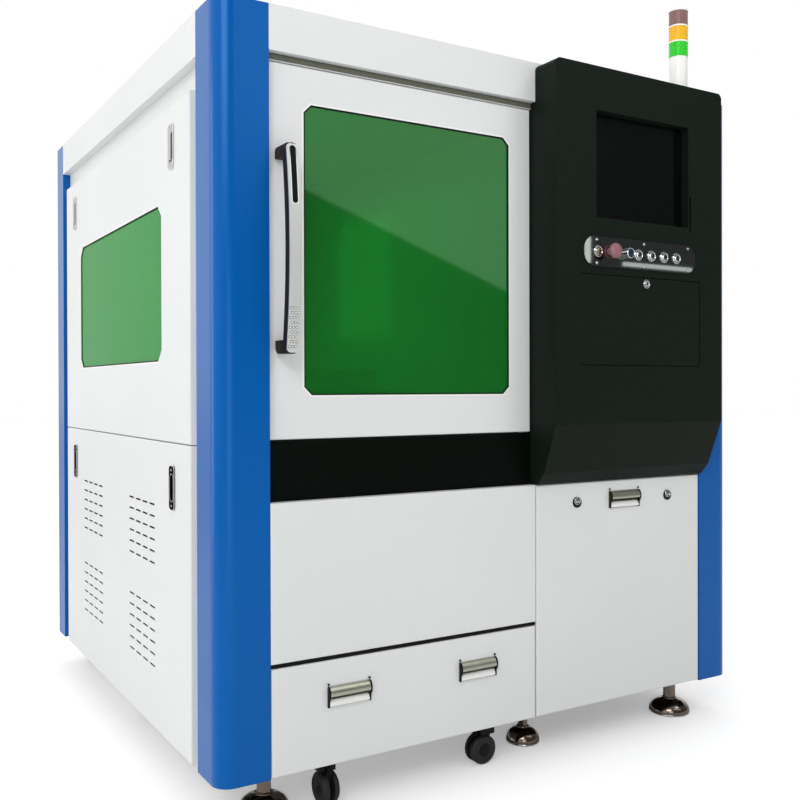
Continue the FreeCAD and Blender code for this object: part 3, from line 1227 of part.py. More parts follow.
def build_cabinet_inside():
    z0 = FRAME_LOW + TUBE + CABINET_FLOOR
    x0 = COLUMN_X + TUBE + SOURCE_SIDE
    x1 = FRAME_X1 - TUBE - SOURCE_SIDE
    source = block(x0, x1, SOURCE_Y0, SOURCE_Y0 + SOURCE_LONG, z0, z0 + SOURCE_HIGH)
    grille = []
    middle = (x0 + x1 - (GRILLES - 1) * GRILLE_PITCH - GRILLE_WIDE) / 2
    for k in range(GRILLES):
        x = middle + k * GRILLE_PITCH
        grille.append(block(x, x + GRILLE_WIDE, SOURCE_Y0, SOURCE_Y0 + GRILLE_DEEP,
                            z0 + 0.23 * SOURCE_HIGH, z0 + 0.77 * SOURCE_HIGH))
    keep("laser_source", source.cut(grille))

    y = DEPTH - BACK_PLATE_FROM_REAR
    solids = [block(x0, x1, y - BACK_PLATE, y, z0, z0 + BACK_PLATE_HIGH)]
    wide = (x1 - x0 - (UNITS + 1) * UNIT_GAP) / UNITS
    front = y - BACK_PLATE - UNIT_DEEP
    low = z0 + 2 * UNIT_GAP
    for k in range(UNITS):
        x = x0 + UNIT_GAP + k * (wide + UNIT_GAP)
        solids.append(block(x, x + wide, front, y - BACK_PLATE, low, low + UNIT_HIGH))
    solids.append(block(x0 + UNIT_GAP, x1 - UNIT_GAP, front + UNIT_DEEP / 2, y - BACK_PLATE,
                        low + UNIT_HIGH + 2 * UNIT_GAP, z0 + BACK_PLATE_HIGH - 2 * UNIT_GAP))
    keep("control_boards", *solids)


# ---------------------------------------------------------------- assembly
build_feet_and_casters()
build_frame()
build_covers()
build_walls()
build_front_sheets()
build_console()
build_controls()
build_flap()
build_cabinet()
build_drawer()
build_door()
side_panels(on_left, "left", True)
side_panels(on_right, "right", False)
build_rear_panel()
build_tower()
build_bed()
build_gantry()
build_cabinet_inside()

for name, shape in pieces.items():
    shape.translate(CENTRE)
    shape.exportStep("parts/" + name + ".step")
print(len(pieces), "pieces")
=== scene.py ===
# %% [markdown]
# # An enclosed fiber laser cutting machine
# The machine stands on a pale studio floor: blue corner covers, white powder-coated
# panels, green viewing windows and a black control console.  The engineering model
# brings every panel, door, wheel and button at its true size.  This lesson gives each
# of them its finish and adds the small pieces that a model for a workshop leaves out.

# %% Load the engineering model
import math

import bmesh
import bpy
from mathutils import Matrix, Vector


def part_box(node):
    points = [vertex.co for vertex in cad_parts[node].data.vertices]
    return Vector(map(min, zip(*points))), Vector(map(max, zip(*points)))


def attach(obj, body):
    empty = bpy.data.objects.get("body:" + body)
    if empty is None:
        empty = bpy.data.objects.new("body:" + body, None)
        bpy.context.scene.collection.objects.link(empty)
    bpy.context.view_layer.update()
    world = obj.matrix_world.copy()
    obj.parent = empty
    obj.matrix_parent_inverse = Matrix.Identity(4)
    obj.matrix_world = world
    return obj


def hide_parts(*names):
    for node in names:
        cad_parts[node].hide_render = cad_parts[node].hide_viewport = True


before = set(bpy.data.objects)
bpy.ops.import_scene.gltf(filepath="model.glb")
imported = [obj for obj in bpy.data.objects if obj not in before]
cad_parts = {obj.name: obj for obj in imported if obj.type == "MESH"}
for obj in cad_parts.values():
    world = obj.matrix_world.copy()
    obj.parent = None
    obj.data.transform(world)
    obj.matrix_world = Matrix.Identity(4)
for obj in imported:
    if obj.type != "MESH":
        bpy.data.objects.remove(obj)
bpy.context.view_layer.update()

print("pieces from the model:", len(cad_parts))

# %% [markdown]
# ## Places on the machine
# The covers' outer planes are the natural rulers of a sheet metal cabinet.  A small
# function turns a place on the drawing (millimetres from the left cover, from the front
# plane and from the floor) into the metres of the scene, so every cell below can talk
# in the maker's own dimensions.

# %% A ruler in millimetres
LEFT, FRONT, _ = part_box("corner_posts")[0]
MM = 0.001


def at(x, y, z):
    return Vector((LEFT + x * MM, FRONT + y * MM, z * MM))


def drawn(node):
    """Lowest and highest corner of a node in drawing millimetres."""
    low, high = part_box(node)
    shift = Vector((LEFT, FRONT, 0))
    return [(Vector(corner) - shift) / MM for corner in (low, high)]


print("covers, in drawing millimetres:", [tuple(round(v) for v in c) for c in drawn("corner_posts")])

# %% [markdown]
# ## The camera
# The photograph was taken from in front and to the left, at chest height, with a
# moderately wide lens held almost level.  A level camera keeps upright edges upright;
# the lens and the small shift are the ones that make the cabinet's corners meet the
# photograph's.

# %% Camera
YAW = math.radians(31.102)
TILT = math.radians(-0.304)
ROLL = math.radians(-0.14)

camera_data = bpy.data.cameras.new("studio_camera")
camera_data.sensor_width = 36.0
camera_data.lens = 42.64
camera_data.shift_x = 0.00675
camera_data.shift_y = -0.00875
camera = bpy.data.objects.new("studio_camera", camera_data)
bpy.context.scene.collection.objects.link(camera)
level_view = Matrix.Rotation(-YAW, 4, "Z") @ Matrix.Rotation(math.radians(90) + TILT, 4, "X")
camera.matrix_world = (Matrix.Translation(at(-731.4, -1959.7, 991.4)) @ level_view
                       @ Matrix.Rotation(ROLL, 4, "Z"))
bpy.context.scene.camera = camera
print("camera lens, mm:", camera_data.lens)

# %% [markdown]
# ## A small kit for materials
# A material is a tree of shader nodes, in which patterns feed colour, gloss and relief to
# one surface shader.  It could be clicked together in the Shader Editor.  In a script one
# function that adds any node, with its settings and its links, lets a finish read as a
# short recipe.  Another turns the hex colours of a colour card into the linear values
# that the renderer counts in.

# %% Material kit
def linear(hex_code):
    """sRGB hex such as "#1B5AA9" to linear red, green, blue, alpha."""
    parts = [int(hex_code[k:k + 2], 16) / 255 for k in (1, 3, 5)]
    return [c / 12.92 if c <= 0.04045 else ((c + 0.055) / 1.055) ** 2.4 for c in parts] + [1.0]


def feed(tree, node, links):
    """Links outputs to the named inputs of a node."""
    for name, source in links.items():
        tree.links.new(source, node.inputs[name])


def add_node(tree, kind, settings=None, links=None):
    made = tree.nodes.new(kind)
    for name, value in (settings or {}).items():
        if name in made.inputs:
            made.inputs[name].default_value = value
        else:
            setattr(made, name, value)
    feed(tree, made, links or {})
    return made


def new_finish(name, **sockets):
    """A material whose shader has the given socket values."""
    material = bpy.data.materials.new(name)
    material.use_nodes = True
    tree = material.node_tree
    shader = tree.nodes["Principled BSDF"]
    for socket, value in sockets.items():
        shader.inputs[socket.replace("_", " ")].default_value = value
    place = add_node(tree, "ShaderNodeTexCoord").outputs["Object"]
    return material, tree, shader, place


print("the covers' blue in linear light:", linear("#005AAA"))

# %% [markdown]
# ## Powder coat
# Powder coat is plastic dust melted onto the sheet.  It keeps the faint waves called
# orange peel, a millimetre or two across, and its gloss shifts a little where the layer
# is thicker.  A plain colour would look like card, so one wide noise moves colour and
# gloss together and a fine one makes the waves.  They are drawn three times coarser than
# real, because at this distance the true ones fall between two pixels.

# %% Powder coat in the cabinet's colours
CLOUD_MM = 450.0          # the layer's thickness drifts over about this length
PEEL_MM = 6.0
PEEL_DEEP_MM = 0.05
SOFT_EDGE_MM = 1.6        # radius that the coat leaves along the bends of a sheet


def powder_coat(name, hex_code, shade, roughness, shine=0.5, tint="#FFFFFF"):
    material, tree, shader, place = new_finish(name, IOR=1.5, Specular_IOR_Level=shine,
                                               Specular_Tint=linear(tint))
    cloud = add_node(tree, "ShaderNodeTexNoise", {"Scale": 1000 / CLOUD_MM, "Detail": 3.0},
                     {"Vector": place}).outputs["Fac"]
    colour = add_node(tree, "ShaderNodeMix",
                      {"data_type": "RGBA", "A": linear(hex_code), "B": linear(shade)}, {"Factor": cloud})
    gloss = add_node(tree, "ShaderNodeMapRange",
                     {"To Min": roughness - 0.06, "To Max": roughness + 0.06}, {"Value": cloud})
    peel = add_node(tree, "ShaderNodeTexNoise", {"Scale": 1000 / PEEL_MM, "Detail": 1.0},
                    {"Vector": place})
    soft_edge = add_node(tree, "ShaderNodeBevel", {"samples": 4, "Radius": SOFT_EDGE_MM * MM})
    relief = add_node(tree, "ShaderNodeBump", {"Strength": 0.5, "Distance": PEEL_DEEP_MM * MM},
                      {"Height": peel.outputs["Fac"], "Normal": soft_edge.outputs["Normal"]})
    feed(tree, shader, {"Base Color": colour.outputs["Result"], "Roughness": gloss.outputs["Result"],
                        "Normal": relief.outputs["Normal"]})
    return material


# White semi-gloss coat: bright and plain, with a soft highlight along each bend.
white_coat = powder_coat("white_powder_coat", "#E6E7E7", "#DDDFDF", 0.34)
# Blue gloss coat: its reflection is tinted, so the lit side of a cover stays blue.
blue_coat = powder_coat("blue_powder_coat", "#005AAA", "#0056A4", 0.24, tint="#8AC4FF")
# Black satin coat: a dark band that mirrors almost nothing.
band_coat = powder_coat("black_satin_powder_coat", "#040804", "#070C08", 0.4, shine=0.05)
# Dark grey coat: the frame stays in the background behind its panels.
frame_coat = powder_coat("grey_frame_powder_coat", "#3A3E40", "#33373A", 0.5)
# Instrument enamel: the even mid grey of a bought-in unit.
source_coat = powder_coat("grey_instrument_enamel", "#5B6064", "#54595D", 0.42)
# Light grey coat: drive housings stand out against the darker cabinet.
board_coat = powder_coat("light_grey_drive_housing", "#9FA09B", "#95968F", 0.5)
print("powder coats:", [coat.name for coat in (white_coat, blue_coat, band_coat, frame_coat,
                                               source_coat, board_coat)])

# %% [markdown]
# ## Black wrinkle coat
# The console has a coarser coat on purpose: wrinkle paint shrinks as it cures into tiny
# domes about half a millimetre apart, which hides finger marks and breaks reflections
# into grains.  A cell pattern gives such domes directly.  It is drawn at two and a half
# millimetres so that the grains can show.

# %% Wrinkle coat
GRAIN_MM = 2.5
GRAIN_DEEP_MM = 0.4
SPECKLE_MM = 3.3          # the light and dark speckle between the domes


def wrinkle_coat():
    material, tree, shader, place = new_finish("black_wrinkle_coat", IOR=1.5,
                                               Specular_IOR_Level=0.1)
    grains = add_node(tree, "ShaderNodeTexVoronoi", {"Scale": 1000 / GRAIN_MM, "Randomness": 1.0},
                      {"Vector": place})
    speckle = add_node(tree, "ShaderNodeTexNoise", {"Scale": 1000 / SPECKLE_MM, "Detail": 4.0},
                       {"Vector": place}).outputs["Fac"]
    colour = add_node(tree, "ShaderNodeMix",
                      {"data_type": "RGBA", "A": linear("#060A07"), "B": linear("#17231B")},
                      {"Factor": speckle})
    gloss = add_node(tree, "ShaderNodeMapRange", {"To Min": 0.42, "To Max": 0.62}, {"Value": speckle})
    soft_edge = add_node(tree, "ShaderNodeBevel", {"samples": 4, "Radius": SOFT_EDGE_MM * MM})
    relief = add_node(tree, "ShaderNodeBump", {"Strength": 0.6, "Distance": GRAIN_DEEP_MM * MM},
                      {"Height": grains.outputs["Distance"], "Normal": soft_edge.outputs["Normal"]})
    feed(tree, shader, {"Base Color": colour.outputs["Result"], "Roughness": gloss.outputs["Result"],
                        "Normal": relief.outputs["Normal"]})
    return material


# Wrinkle coat: dull green-black, with light caught only on the grains.
console_coat = wrinkle_coat()
print("wrinkle coat grains, mm:", GRAIN_MM)

# %% [markdown]
# ## Plated, brushed and polished metal
# Chrome is mirror-like and shows mostly what stands round it.  Brushed steel has fine
# scratches in one direction, and a noise that is stretched along that direction gives
# them without an image.  The scratches are drawn about ten times coarser than real.

# %% Metals
SCRATCH_MM = 3.0


def metal(name, hex_code, roughness, brush=(1, 1, 1), spread=0.08, deep_mm=0.02):
    material, tree, shader, place = new_finish(name, Metallic=1.0, Base_Color=linear(hex_code))
    stretched = add_node(tree, "ShaderNodeMapping", {"Scale": brush}, {"Vector": place})
    grain = add_node(tree, "ShaderNodeTexNoise", {"Scale": 1000 / SCRATCH_MM, "Detail": 3.0},
                     {"Vector": stretched.outputs["Vector"]}).outputs["Fac"]
    gloss = add_node(tree, "ShaderNodeMapRange",
                     {"To Min": max(roughness - spread, 0.02), "To Max": roughness + spread},
                     {"Value": grain})
    feed(tree, shader, {"Roughness": gloss.outputs["Result"]})
    if deep_mm:
        relief = add_node(tree, "ShaderNodeBump", {"Strength": 0.3, "Distance": deep_mm * MM},
                          {"Height": grain})
        feed(tree, shader, {"Normal": relief.outputs["Normal"]})
    return material


# Polished chrome: small bright mirrors on caps, rings and locks.
chrome = metal("polished_chrome", "#C9CBCC", 0.12)
# Dark polished stainless: the strip is a still mirror, without waves, of a dim room.
strip_steel = metal("dark_polished_stainless", "#696E6B", 0.03, spread=0.01, deep_mm=0.0)
# Dark chrome: the caps' lenses, darker than the rings round them, and the painted shade round the pull's
# domes.
dark_chrome_and_shade = metal("dark_chrome_and_shade", "#6A6B68", 0.16)
# Satin nickel: a warm, silky cup, brushed along its length.
pull_nickel = metal("satin_olive_nickel", "#B4B6A6", 0.34, brush=(0.05, 1, 1))
# Turned copper: orange brown, with a drawn-out grain along its axis.
nozzle_copper = metal("turned_copper", "#B06A3E", 0.3, brush=(1, 1, 0.1))
# Brushed aluminium: pale and silky, the lightest thing on the door.
silver_face = metal("brushed_aluminium", "#DFE1DF", 0.5, brush=(1, 1, 0.05))
# Zinc plate: a cool, slightly patchy grey.
zinc = metal("zinc_plated_steel", "#A8A9A6", 0.38)
# Bronzed nickel: dark mirrors with a brown tinge.
foot_nickel = metal("bronzed_nickel_plate", "#7E7268", 0.12)
# Pale gold: marks the power button among the chrome ones.
gold_lens = metal("pale_gold_lens", "#C9BE98", 0.3)
# Anodised aluminium: an even matt grey.
alu = metal("anodised_aluminium", "#A3A6A8", 0.42)
# Mill finish steel: dark and dull, so the slats read as a dark bed.
slat_steel = metal("mill_finish_steel", "#55534F", 0.55)
print("metals:", [kind.name for kind in (chrome, strip_steel, dark_chrome_and_shade, pull_nickel, nozzle_copper,
                                         silver_face, zinc, foot_nickel, gold_lens, alu, slat_steel)])

# %% [markdown]
# ## Plastics and rubber
# Moulded plastic copies the fine grain of its mould and has small patches where it
# cooled unevenly.  One noise of about a finger's width moves colour and gloss for the
# patches, and a fine one is the grain.  Rubber and foam are the same recipe, rougher and
# deeper.

# %% Plastics
PATCH_MM = 17.0


def moulded(name, hex_code, shade, roughness, shine=0.5, grain_mm=1.5, deep_mm=0.03):
    material, tree, shader, place = new_finish(name, IOR=1.49, Specular_IOR_Level=shine)
    patches = add_node(tree, "ShaderNodeTexNoise", {"Scale": 1000 / PATCH_MM, "Detail": 3.0},
                       {"Vector": place}).outputs["Fac"]
    colour = add_node(tree, "ShaderNodeMix",
                      {"data_type": "RGBA", "A": linear(hex_code), "B": linear(shade)},
                      {"Factor": patches})
    gloss = add_node(tree, "ShaderNodeMapRange",
                     {"To Min": roughness - 0.05, "To Max": roughness + 0.05}, {"Value": patches})
    grain = add_node(tree, "ShaderNodeTexNoise", {"Scale": 1000 / grain_mm}, {"Vector": place})
    relief = add_node(tree, "ShaderNodeBump", {"Strength": 0.4, "Distance": deep_mm * MM},
                      {"Height": grain.outputs["Fac"]})
    feed(tree, shader, {"Base Color": colour.outputs["Result"], "Roughness": gloss.outputs["Result"],
                        "Normal": relief.outputs["Normal"]})
    return material


# Glass-filled nylon: black with a faint satin gloss, on locks, cheeks and casters.
black_nylon = moulded("black_glass_filled_nylon", "#080909", "#101111", 0.45, shine=0.2)
# Button plastic: a dusty red whose soft gloss shows the dome.
stop_red = moulded("dull_red_button_plastic", "#94646A", "#875A60", 0.34)
# Collar plastic: the stop's red made darker as painted shade under its head, so that the head stands off it.
collar_red_painted_shade = moulded("red_collar_painted_shade", "#4A2428", "#401E22", 0.34)
# Matt nylon: hardly any gloss, so a pull's cup reads as a hole.
slot_nylon = moulded("matt_black_nylon", "#030303", "#070707", 0.6, shine=0.02)
# Brown-black nylon: a warm tinge against the silver face.
pull_brown = moulded("brown_black_nylon", "#2A211D", "#201815", 0.45, shine=0.15)
# White ABS: a shade brighter than the coat beside it, on the tower.  The same white paints highlights: the
# pull's domes, the cup pulls' lips, and the edges round the windows and side pulls.
white_abs_and_highlight = moulded("white_abs_and_highlight", "#F7F7F5", "#F0F0EE", 0.3)
# Light grey ABS: one step darker than the panels, on the upper pulls; on the lower pulls it paints a
# highlight along the recess's rim.
grey_abs_and_highlight = moulded("light_grey_abs", "#B9B9B7", "#AEAEAC", 0.4)
# Lock face: a blue that is nearly black.
key_blue = moulded("dark_blue_lock_face", "#1B2E4A", "#16263E", 0.3)
# Painted shade: an olive sheet at the back of each cup pull paints the cup dark behind its lip.
cup_painted_shade = moulded("olive_pull_lining", "#5E6352", "#54594A", 0.5)
# Key ABS: dull charcoal.
key_abs = moulded("black_key_abs", "#17181A", "#1F2022", 0.5)
# Tyre rubber: dull black with a coarse mould grain.
tyre_rubber = moulded("black_rubber", "#0B0B0B", "#151514", 0.6, grain_mm=3.0, deep_mm=0.08)
# Gasket rubber: a thin black line round a pane.  The same black paints shade in the key slots, the side
# pulls' hooked strips and the seam above the drawer.
black_gasket_and_shade = moulded("black_gasket_and_painted_shade", "#060907", "#0B0E0C", 0.55, shine=0.15)
# Painted shade in the header: olive grey and very rough.
header_painted_shade = moulded("olive_grey_header_painted_shade", "#65675A", "#55584B", 0.8, grain_mm=2.0, deep_mm=0.2)
# Filter foam: the darkest and roughest; it also paints the shade in the vent slots, which read as black.
filter_foam_and_slot_shade = moulded("black_filter_foam_and_slot_shade", "#030303", "#080808", 0.9, shine=0.05, grain_mm=2.0,
                      deep_mm=0.4)
# Monitor glass: dark and smooth, with a faint green cast.
screen_glass = moulded("dark_monitor_glass", "#030805", "#050B07", 0.14, shine=0.2, deep_mm=0.0)
print("materials so far:", len(bpy.data.materials))

# %% [markdown]
# ## Laser safety acrylic and signal lenses
# The windows are acrylic that is dyed through to stop the laser, so the light that
# crosses them turns green, and they are flat enough to mirror the room.  A surface that
# lets part of the light through a dyed base does both at once.  The tower's lenses are
# the same plastic with little clearness, because their ribs scatter the light.

# %% Acrylic
DRIFT_MM = 700.0          # the dye's depth drifts over about a pane's length


def dyed_acrylic(name, hex_code, shade, clear, roughness=0.04, shine=0.5, tint="#FFFFFF"):
    """The tint is for the reflection: half of it comes back from the sheet's far face."""
    material, tree, shader, place = new_finish(name, IOR=1.49, Roughness=roughness,
                                               Transmission_Weight=clear,
                                               Specular_IOR_Level=shine,
                                               Specular_Tint=linear(tint))
    depth = add_node(tree, "ShaderNodeTexNoise", {"Scale": 1000 / DRIFT_MM, "Detail": 2.0},
                     {"Vector": place})
    colour = add_node(tree, "ShaderNodeMix",
                      {"data_type": "RGBA", "A": linear(hex_code), "B": linear(shade)},
                      {"Factor": depth.outputs["Fac"]})
    feed(tree, shader, {"Base Color": colour.outputs["Result"]})
    return material


# Door pane: dark green, half clear, with a strong and slightly green mirror image.
window_green = dyed_acrylic("dark_green_laser_acrylic", "#1C9030", "#137E26", 0.55,
                            shine=0.8, tint="#C4FFCC")
# Side pane: a brighter green without a mirror image, as the photograph shows it.
port_green = dyed_acrylic("green_laser_acrylic", "#10AE44", "#24A02E", 0.5, 0.1, shine=0.0)
# Signal lenses: clean green and amber, and a red that looks brown while its lamp is off.
lens_green = dyed_acrylic("green_signal_lens", "#2BE32A", "#1FD222", 0.1, 0.12)
lens_amber = dyed_acrylic("amber_signal_lens", "#FFC814", "#FFBE0C", 0.1, 0.12)
lens_red = dyed_acrylic("dark_red_signal_lens", "#96706C", "#8A6461", 0.1, 0.12)
print("panes and lenses:", [pane.name for pane in (window_green, port_green, lens_green, lens_amber,
                                                   lens_red)])

# %% [markdown]
# ## Dressing the model
# Each node of the engineering model has one material slot.  A dictionary from finish to
# nodes is easier to read, and to correct, than sixty separate lines.

# %% Give each node its finish
finishes = {
    white_coat: ["roof_cover", "wall_skins", "lower_front_panel", "cabinet_door", "scrap_drawer",
                 "front_door", "left_upper_panel", "left_lower_panel", "right_upper_panel",
                 "right_lower_panel", "rear_panel"],
    blue_coat: ["corner_posts"],
    band_coat: ["front_band"],
    frame_coat: ["chassis_frame"],
    console_coat: ["console_housing", "keyboard_flap"],
    screen_glass: ["monitor"],
    strip_steel: ["button_plate"],
    chrome: ["power_button", "push_button_1", "push_button_2", "push_button_3", "push_button_4",
             "flap_lock"],
    pull_nickel: ["cabinet_pull", "drawer_pulls"],
    stop_red: ["emergency_stop"],
    key_blue: ["key_switch"],
    pull_brown: ["door_pull"],
    grey_abs_and_highlight: ["left_upper_pulls"],
    slot_nylon: ["left_lower_pulls"],
    black_nylon: ["cabinet_lock_left", "cabinet_lock_right", "caster_mounts", "caster_fork_left",
                  "caster_fork_right"],
    silver_face: ["door_pull_face"],
    zinc: ["door_hinges"],
    key_abs: ["keyboard"],
    window_green: ["door_window"],
    port_green: ["left_window"],
    white_abs_and_highlight: ["tower_base"],
    lens_green: ["tower_lens_green"],
    lens_amber: ["tower_lens_amber"],
    lens_red: ["tower_lens_red"],
    foot_nickel: ["foot_front_left", "foot_front_middle", "foot_front_right", "foot_rear_left",
                  "foot_rear_right"],
    tyre_rubber: ["wheel_front_left", "wheel_front_right", "wheel_rear_left", "wheel_rear_right"],
    alu: ["gantry_beam", "head_carriage", "cutting_head"],
    slat_steel: ["slat_bed"],
    source_coat: ["laser_source"],
    board_coat: ["control_boards"],
}
dressed = 0
for finish, names in finishes.items():
    for name in names:
        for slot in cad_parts[name].material_slots:
            slot.material = finish
        dressed += 1
print("nodes dressed:", dressed)

# %% [markdown]
# ## A kit for new pieces
# Small fittings are turned, cut from sheet or pressed, and so are they here.  Each is
# made lying at the origin, where its outline is easy to write, and then carried to its
# place in the mesh.  The object itself stays at the origin and rides on its body.

# %% Places and directions
TOWARDS_VIEWER = Vector((0, -1, 0))
TOWARDS_REAR = Vector((0, 1, 0))
TOWARDS_LEFT = Vector((-1, 0, 0))
TOWARDS_RIGHT = Vector((1, 0, 0))
UPWARDS = Vector((0, 0, 1))


def standing(along, foot):
    """Stands a piece made along Z on a foot point."""
    return Matrix.Translation(foot) @ along.to_track_quat("Z", "Y").to_matrix().to_4x4()


def facing(direction, foot):
    """Like standing, with the piece's own Y axis kept upright."""
    turn = Matrix((UPWARDS.cross(direction), UPWARDS, direction)).transposed().to_4x4()
    return Matrix.Translation(foot) @ turn


def lying(foot, outwards=-1):
    """Lays a side view across the machine: its X runs to the viewer, or at 1 to the rear."""
    return Matrix.Translation(foot) @ Matrix(((0, 0, 1, 0), (outwards, 0, 0, 0), (0, 1, 0, 0),
                                              (0, 0, 0, 1)))


def carry(bm, start, place):
    """Moves the vertices made since a count to their place."""
    bm.verts.ensure_lookup_table()
    bmesh.ops.transform(bm, matrix=place, verts=bm.verts[start:])


def centre_of(node):
    low, high = drawn(node)
    return (low + high) / 2


print("middle of the control strip, in drawing millimetres:", centre_of("button_plate"))

# %% [markdown]
# ## Turned pieces
# Caps, rings, feet and screws come off a lathe.  The same outline that a turner would cut
# is spun about an axis, which keeps every rim perfectly round with few faces.

# %% Turning
def turned(bm, outline, place, steps=32):
    """Spins an outline of (radius, height) points in millimetres about its axis."""
    start = len(bm.verts)
    corners = [bm.verts.new((radius * MM, 0, height * MM)) for radius, height in outline]
    edges = [bm.edges.new(pair) for pair in zip(corners, corners[1:])]
    bmesh.ops.spin(bm, geom=corners + edges, axis=(0, 0, 1), cent=(0, 0, 0),
                   angle=math.tau, steps=steps, use_merge=True)
    carry(bm, start, place)


# %% [markdown]
# ## Pieces cut from sheet
# A sheet piece is one flat face that is extruded by its thickness.  A rectangle gets its
# round corners by a bevel of its four vertices, and a ring is the border that an inset
# leaves when the middle is taken out.

# %% Sheets and rings
def raised(bm, faces, lift):
    """Extrudes flat faces by a vector to a closed plate."""
    made = bmesh.ops.extrude_face_region(bm, geom=faces)["geom"]
    lifted = [part for part in made if isinstance(part, bmesh.types.BMVert)]
    bmesh.ops.translate(bm, verts=lifted, vec=lift)


def border_of(bm, face, wide):
    """Keeps only a border of a face, for a ring."""
    face.normal_update()
    ring = bmesh.ops.inset_individual(bm, faces=[face], thickness=wide * MM, depth=0,
                                      use_even_offset=True)["faces"]
    bmesh.ops.delete(bm, geom=[face], context="FACES_ONLY")
    return ring


def rounded_face(bm, wide, high, radius, segments):
    """A rectangle about the origin with round corners."""
    x, y = wide / 2 * MM, high / 2 * MM
    corners = [bm.verts.new(corner) for corner in ((-x, -y, 0), (x, -y, 0), (x, y, 0), (-x, y, 0))]
    bm.faces.new(corners)
    bmesh.ops.bevel(bm, geom=corners, offset=radius * MM, affect="VERTICES", segments=segments,
                    profile=0.5, material=-1)
    bm.verts.ensure_lookup_table()
    return bm.verts[-1].link_faces[0]


def cut_sheet(bm, outline, thick, place):
    """A flat outline in millimetres, made thick along Z and laid in its place."""
    start = len(bm.verts)
    face = bm.faces.new([bm.verts.new((x * MM, y * MM, 0)) for x, y in outline])
    raised(bm, [face], (0, 0, thick * MM))
    carry(bm, start, place)


def rounded_sheet(bm, wide, high, radius, thick, place, segments=6):
    start = len(bm.verts)
    raised(bm, [rounded_face(bm, wide, high, radius, segments)], (0, 0, thick * MM))
    carry(bm, start, place)


def rounded_ring(bm, wide, high, radius, wall, thick, place, segments=6):
    start = len(bm.verts)
    ring = border_of(bm, rounded_face(bm, wide, high, radius, segments), wall)
    raised(bm, ring, (0, 0, thick * MM))
    carry(bm, start, place)


# %% [markdown]
# ## Finishing a piece
# A bmesh becomes an object only at the end.  Its seams are merged first, because the spin
# leaves doubled vertices, and then its faces are turned outwards.  Faces that meet at a
# blunt angle are shaded as one smooth surface, and sharper edges stay crisp.

# %% Finish and ride
def finish_piece(name, bm, finish, body, smooth_below=35):
    """Closes seams, turns faces outwards, and lets the piece ride on its body."""
    bmesh.ops.remove_doubles(bm, verts=bm.verts, dist=0.01 * MM)
    bmesh.ops.recalc_face_normals(bm, faces=bm.faces)
    for face in bm.faces:
        face.smooth = True
    mesh = bpy.data.meshes.new(name)
    bm.to_mesh(mesh)
    bm.free()
    mesh.set_sharp_from_angle(angle=math.radians(smooth_below))
    mesh.materials.append(finish)
    piece = bpy.data.objects.new(name, mesh)
    bpy.context.scene.collection.objects.link(piece)
    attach(piece, body)
    print(name, "faces:", len(mesh.polygons))
    return piece


# %% [markdown]
# ## Window gaskets
# Each pane is held by a rubber channel round the cut in the sheet, and outside it a ring of white plastic
# paints the highlight on the cut's folded edge.  Both are rings with cut corners: the outline's face is
# inset, its middle is deleted, and the ring that is left is extruded.

# %% Gaskets and painted highlight edges
PANE_LAP = 12.0           # the pane reaches this far behind the sheet
GASKET_WIDE, GASKET_DEEP = 3.5, 2.0
EDGE_WIDE, EDGE_DEEP, EDGE_PROUD = 4.0, 1.0, 0.8
DOOR_CUT, SIDE_CUT = 19.0, 29.0     # the windows' cut corners


def window_ring(name, corner_low, corner_high, cut, wide, deep, mirrored, finish, body):
    """Ring inside a box of the front layout (across, into the machine, up)."""
    x0, y0, z0 = corner_low
    x1, _, z1 = corner_high
    outline = [(x0 + cut, z0), (x1 - cut, z0), (x1, z0 + cut), (x1, z1 - cut),
               (x1 - cut, z1), (x0 + cut, z1), (x0, z1 - cut), (x0, z0 + cut)]
    bm = bmesh.new()
    face = bm.faces.new([bm.verts.new((x * MM, y0 * MM, z * MM)) for x, z in outline])
    raised(bm, border_of(bm, face, wide), (0, deep * MM, 0))
    if mirrored:
        side_for_front = Matrix(((0, 1, 0, 0), (1, 0, 0, 0), (0, 0, 1, 0), (0, 0, 0, 1)))
        bmesh.ops.transform(bm, matrix=side_for_front, verts=bm.verts)
    bmesh.ops.translate(bm, verts=bm.verts, vec=at(0, 0, 0))
    return finish_piece(name, bm, finish, body)


def window_trim(word, pane, cut, sheet_face, mirrored, body):
    """Black gasket inside the cut and a painted highlight edge just outside it."""
    low, high = drawn(pane)
    if mirrored:
        low, high = low.yxz, high.yxz
    low = Vector((low.x + PANE_LAP, sheet_face, low.z + PANE_LAP))
    high = Vector((high.x - PANE_LAP, sheet_face, high.z - PANE_LAP))
    window_ring(word + "_gasket", low, high, cut, GASKET_WIDE, GASKET_DEEP, mirrored,
                black_gasket_and_shade, body)
    # A white ring outside the cut: painted highlight on the folded edge.
    out = Vector((EDGE_WIDE, EDGE_PROUD, EDGE_WIDE))
    window_ring(word + "_bright_edge", low - out, high + out, cut + 0.6 * EDGE_WIDE, EDGE_WIDE,
                EDGE_DEEP, mirrored, white_abs_and_highlight, body)


DOOR_FACE = drawn("front_door")[0].y
window_trim("door_window", "door_window", DOOR_CUT, DOOR_FACE, False, "door")
LEFT_FACE = drawn("left_upper_panel")[0].x
window_trim("left_window", "left_window", SIDE_CUT, LEFT_FACE, True, "left_upper")
print("panes:", drawn("door_window"), drawn("left_window"), "faces:", DOOR_FACE, LEFT_FACE)

# %% [markdown]
# ## The door pull's inlay
# The silver face of the pull has a dark slot with round ends near the top, in a bright
# rim.  It follows the face's shallow bow.  A curve modifier could bend it, but it is
# simpler to make it flat and then move each vertex forward by the bow's height there,
# which is what pressing a soft strip onto the face would do.

